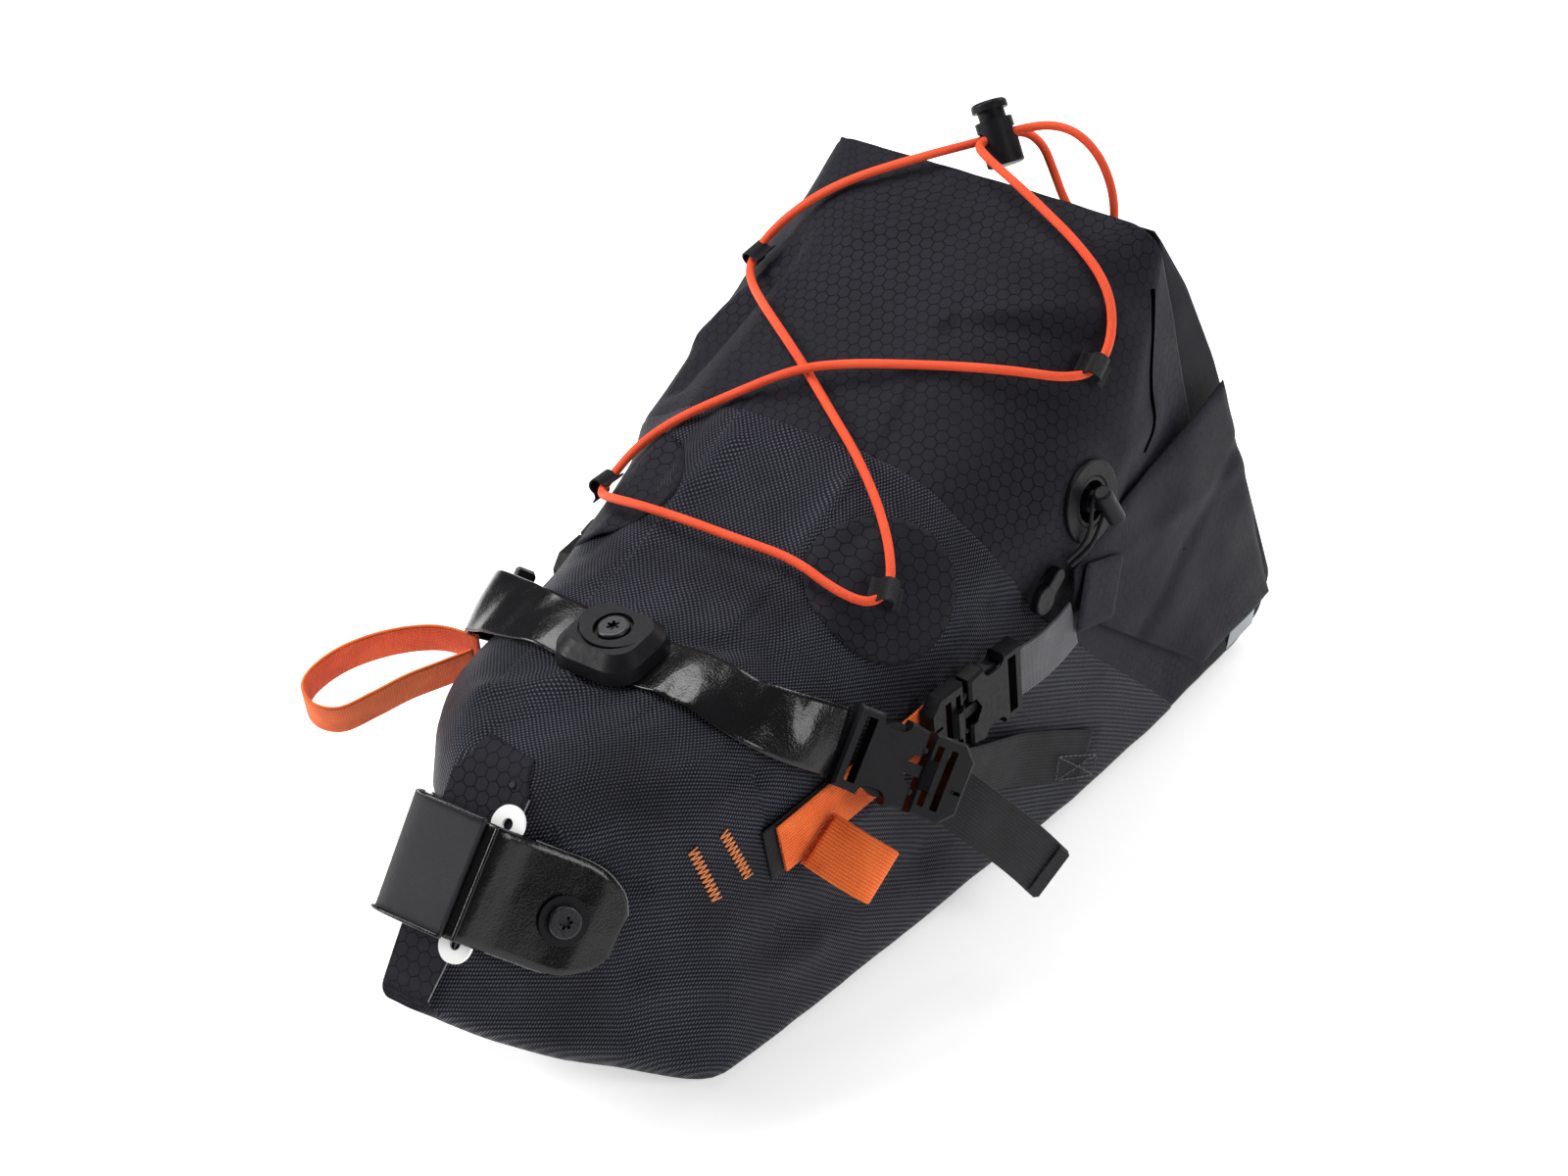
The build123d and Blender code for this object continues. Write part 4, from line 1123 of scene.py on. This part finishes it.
def pull_loop(name, base, out, across, outline, node, kink=0.0):
    """A loop of webbing. With a kink, its middle is drawn in and twisted, as soft tape hangs."""
    out, across = unit(out), np.array(across, float)
    across = unit(across - out * across.dot(out))
    lift = np.cross(across, out)
    reach = max(a for a, _ in outline)
    stations = []
    for a, b in outline:
        swing = kink * sin(pi * a / reach)
        place = np.array(base) + out * a + lift * b + across * swing * 2
        stations.append((tuple(place), across + out * swing))
    loop = ribbon_grid(stations, TAPE_THICKNESS, 1.5)
    piece(name, [loop], ORANGE, [node])


def nose_point(across, out, along=0.0):
    return NOSE_MIDDLE + np.array((across, 0, 0)) + NOSE_NORMAL * out + POST_AXIS * along


def post_stations(path):
    """The strap round the seatpost. Its tongues follow the nose, which widens upwards."""
    flare = [0.09 * max(min(across / 40, 1), -1) for across, _, _ in path]
    return [(tuple(nose_point(a, out)), (f, *POST_AXIS[1:]), width)
            for (a, out, width), f in zip(path, flare)]


def seatpost_strap():
    strap = ribbon_grid(post_stations(POST_STRAP_PATH), 2.2, 1.5)
    piece("seatpost_strap_tape", [strap], COATED, ["seatpost_strap"])
    pad = ribbon_grid(post_stations(PAD_PATH), 2.2, 1.5)
    piece("seatpost_pad_cover", [pad], PAD, ["seatpost_pad"])
    edges = []
    for hand in (1, -1):
        tongue = POST_STRAP_PATH[:6] if hand > 0 else POST_STRAP_PATH[:13:-1]
        for side in (1, -1):
            line = [np.array(p) + unit(w) * (width / 2 - 0.2) * side for p, w, width in post_stations(tongue)]
            edges.append(tube_grid(smooth_line(line, 1.0), 0.36, 6))
        tip = [np.array(p) + unit(w) * (width / 2 - 0.2) * side
               for (p, w, width) in post_stations(tongue[:1]) for side in (1, 0, -1)]
        edges.append(tube_grid(smooth_line(tip, 1.0), 0.36, 6))
    piece("tongue_cut_edges", edges, FRAY)
    ridge = [nose_point(18.6, 10.9, along) for along in (-24, -8, 8, 24)]
    hems = [[nose_point(a, out + 1.5, end) for a, out, _ in PAD_PATH] for end in (-24.6, 24.6)]
    rolls = [tube_grid(smooth_line(line, 1.5), 0.9, 8) for line in [ridge] + hems]
    piece("seatpost_strap_hems", rolls, COATED)


# ---- Cords ----

def cord_line(name, route):
    """The route's smooth line: a quadratic NURBS whose control points are the route's points, in metres."""
    data = bpy.data.curves.new(name, "CURVE")
    data.dimensions = "3D"
    data.resolution_u = 12
    spline = data.splines.new("NURBS")
    spline.points.add(len(route) - 1)
    for point, place in zip(spline.points, route):
        point.co = (*(Vector(place) * MM), 1)
    spline.order_u = 3
    spline.use_endpoint_u = True
    curve = bpy.data.objects.new(name, data)
    bpy.context.scene.collection.objects.link(curve)
    mesh = bpy.data.meshes.new_from_object(curve)
    line = np.array([v.co for v in mesh.vertices], float)
    bpy.data.objects.remove(curve)
    return line


def bungee(line):
    cord = piece("bungee_sheath", [tube_grid(line / MM, 2.0, 14)], BUNGEE_SHEATH,
                 ["bungee_cord"])
    turn = np.linspace(0, 2 * pi, 90)
    loops = np.column_stack([
        np.sin(turn) + 2 * np.sin(2 * turn),
        -np.sin(3 * turn),
        np.cos(turn) - 2 * np.cos(2 * turn),
    ])
    knot = np.array(BUNGEE_KNOT) + loops * (1.25, 1.3, 1.25)
    ends = [
        smooth_line([BUNGEE_ROUTE[0], (31.5, 162.4, 214), (33, 163.4, 210)], 1.0),
        smooth_line([BUNGEE_ROUTE[-1], (36.6, 163.4, 214.5), (35, 164.2, 210)], 1.0),
    ]
    tubes = [tube_grid(knot, 1.9, 12)] + [tube_grid(end, 2.0, 12) for end in ends]
    tied = piece("bungee_knot_tied", tubes, BUNGEE_SHEATH, ["bungee_knot"])


def valve_cord(line):
    cord = piece("valve_cord_braid", [tube_grid(line / MM, 1.0, 10)], BLACK_CORD,
                 ["valve_cord"], "valve_plug")


# Each loop's middle, the way the cord runs through it, and the way out of the bag
LOOP_SPOTS = [
    ((-90.2, 71, 223.8), (0.1, 1, 0.2), (-0.75, -0.2, 0.6)),
    ((90.4, 74.5, 219.9), (-0.14, 0.9, 0.42), (0.74, -0.2, 0.6)),
    ((-79.6, -56, 175.2), (-0.1, 1, -0.1), (-0.75, -0.25, 0.6)),
    ((77, -60, 177.4), (0.35, -0.9, -0.5), (0.7, -0.25, 0.65)),
]


def bungee_loops():
    half = [(7.5, -3.4), (5.2, -3.3), (3.6, -1.6), (3.3, 1.2), (1.6, 3.0)]
    over = [(-a, b) for a, b in half] + half[::-1]
    grids = []
    for middle, along, out in LOOP_SPOTS:
        along, out = unit(along), np.array(out, float)
        out = unit(out - along * out.dot(along))
        side = np.cross(along, out)
        stations = [(tuple(np.array(middle) + side * a + out * b), -along) for a, b in over]
        grids.append(ribbon_grid(stations, 0.9, 0.8, 11.0))
    piece("bungee_loop_tabs", grids, TAB_TAPE, ["bungee_loops"])


# ---- Stitching ----

def zigzag(start, end, half_width, steps, way, lift=0.5):
    """A row of zigzag stitching laid on the bag between two points."""
    start, end = np.array(start, float), np.array(end, float)
    run = end - start
    side = unit(np.cross(run, way)) * half_width
    points = [start + run * i / steps + side * (1 if i % 2 else -1) for i in range(steps + 1)]
    line = smooth_line(points, 0.6, 0.25)
    return tube_grid([on_bag(p, unit(way), lift)[0] for p in line], 0.42, 6)


def seam(points, way, lift, stitch=3.0, gap=1.1, radius=0.3):
    """Straight stitches laid on the bag along a line."""
    line = smooth_line(points, 0.5, 0.3)
    lengths = np.concatenate([[0], np.cumsum(np.linalg.norm(np.diff(line, axis=0), axis=1))])
    grids = []
    start = 0.0
    while start + stitch < lengths[-1]:
        spots = np.linspace(start, start + stitch, 5)
        run = np.column_stack([np.interp(spots, lengths, line[:, c]) for c in range(3)])
        dips = (-0.25, 0.1, 0.15, 0.1, -0.25)
        grids.append(tube_grid([on_bag(p, way, lift + d)[0] for p, d in zip(run, dips)], radius, 6))
        start += stitch + gap
    return grids


def stitching():
    rows = [
        zigzag((66, -184, 121), (71, -178, 94), 2.2, 22, (0.93, -0.37, 0)),
        zigzag((73, -171, 123), (76, -162, 96), 2.2, 22, (0.93, -0.37, 0)),
    ]
    piece("orange_bartacks", rows + [mirrored(r) for r in rows], ORANGE_THREAD)
    side = np.array((1.0, 0, 0))
    box = [(95, 30, 44), (95, 58, 28), (95, 56, 18), (95, 28, 32)]
    lines = [(box[i], box[(i + 1) % 4]) for i in range(4)] + [(box[0], box[2]), (box[1], box[3])]
    grids = []
    for a, b in lines:
        a, b = np.array(a, float), np.array(b, float)
        grids += seam([a, (a + b) / 2 + (0, 0, 0.05), b], side, 2.9)
    piece("anchor_stitches", grids + [mirrored(g) for g in grids], BLACK_THREAD)
    edge = [NOSE_MIDDLE + (20, 0, 0) + POST_AXIS * 38, NOSE_MIDDLE + (16, 0, 0) + POST_AXIS * -6,
            NOSE_MIDDLE + (12, 0, 0) + POST_AXIS * -51]
    line = [on_bag(p, NOSE_NORMAL, 0.8)[0] for p in smooth_line(edge, 1.5)]
    piece("nose_cut_edge", [tube_grid(line, 0.3, 6)], FRAY)
    # Painted shade: a black tube laid along the tube's side edge, where the deep fold's shadow falls.
    join = smooth_line([(92, 118, 236), (97, 111, 204), (99, 108, 178), (99, 100, 166)], 2.0)
    gap = tube_grid([on_bag(p, side, -0.9)[0] for p in join], 1.7, 8)
    piece("tube_edge_painted_shade", [gap], FOLD_SHADE)


# ---- The CAD's hard parts keep their shapes and get finished materials ----

HARD_PARTS = {
    "clamp_screw": STEEL, "clamp_nut": STEEL, "tongue_screws": STEEL, "cord_lock_spring": STEEL,
    "nose_washers": WHITE, "nose_brace": BOARD, "roll_stiffener": BOARD, "underside_board": BOARD,
}


def finish_hard_parts():
    for name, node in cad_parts.items():
        if not node.hide_render:
            node.data.materials.clear()
            node.data.materials.append(HARD_PARTS.get(name, PLASTIC))


def ribbon_points(stations, width, clearance):
    """Points over a strap's width, for pressing the fabric under it."""
    line = smooth_line([[*s[0], *unit(s[1])] for s in stations], 4.0)
    spread = np.linspace(-width / 2, width / 2, 9)
    return np.concatenate([line[:, :3] + line[:, 3:6] * s for s in spread]), clearance


def other_side(stations):
    """A strap's middle line on the other side. Its way across is kept, since only its line matters there."""
    return [((-place[0], *place[1:]), across) for place, across in stations]


camera()
studio()
bungee_path = cord_line("bungee_line", BUNGEE_ROUTE)
valve_path = cord_line("valve_line", VALVE_ROUTE)
pressed = [
    (bungee_path / MM, 2.3),
    ribbon_points(both_ways(RAIL_STRAP_HALF), RAIL_STRAP_WIDTH, 1.3),
    ribbon_points(RAIL_WEBBING_FIXED, WEBBING_WIDTH, 1.2),
    ribbon_points(other_side(RAIL_WEBBING_FIXED), WEBBING_WIDTH, 1.2),
    ribbon_points(CLOSURE_WEBBING, WEBBING_WIDTH, 1.6),
    ribbon_points(other_side(CLOSURE_WEBBING), WEBBING_WIDTH, 1.6),
    ribbon_points(BASE_WEBBING, BASE_WIDTH, 1.0),
    ribbon_points(post_stations(POST_STRAP_PATH), 44, 1.6),
]
front_grid, rear_grid = bag_fabric(pressed)
SURFACE = bag_surface(front_grid, rear_grid)
front_panel = piece("front_panel_woven", [(front_grid, panel_coordinates(front_grid), True)], WOVEN,
                    ["front_shell"])
rear_panel = piece("rear_tube_ripstop", [(rear_grid, flat_coordinates(rear_grid, True), True)], RIPSTOP,
                   ["rear_tube"])
hole_in(rear_panel, VALVE_CENTRE, VALVE_HOLE_RADIUS)
thicken(front_panel, SHELL_THICKNESS)
thicken(rear_panel, SHELL_THICKNESS)
patches()
roll_closure()
ears()
reflector()
rail_strap()
side_webbing()
pull_loop("pull_loop_tape_left", PULL_BASE, PULL_OUT, PULL_ACROSS, PULL_LOOP, "pull_loop_left",
          LEFT_LOOP_KINK)
pull_loop("pull_loop_tape_right", RIGHT_BASE, RIGHT_OUT, RIGHT_ACROSS, RIGHT_LOOP, "pull_loop_right")
seatpost_strap()
bungee(bungee_path)
valve_cord(valve_path)
bungee_loops()
stitching()
finish_hard_parts()
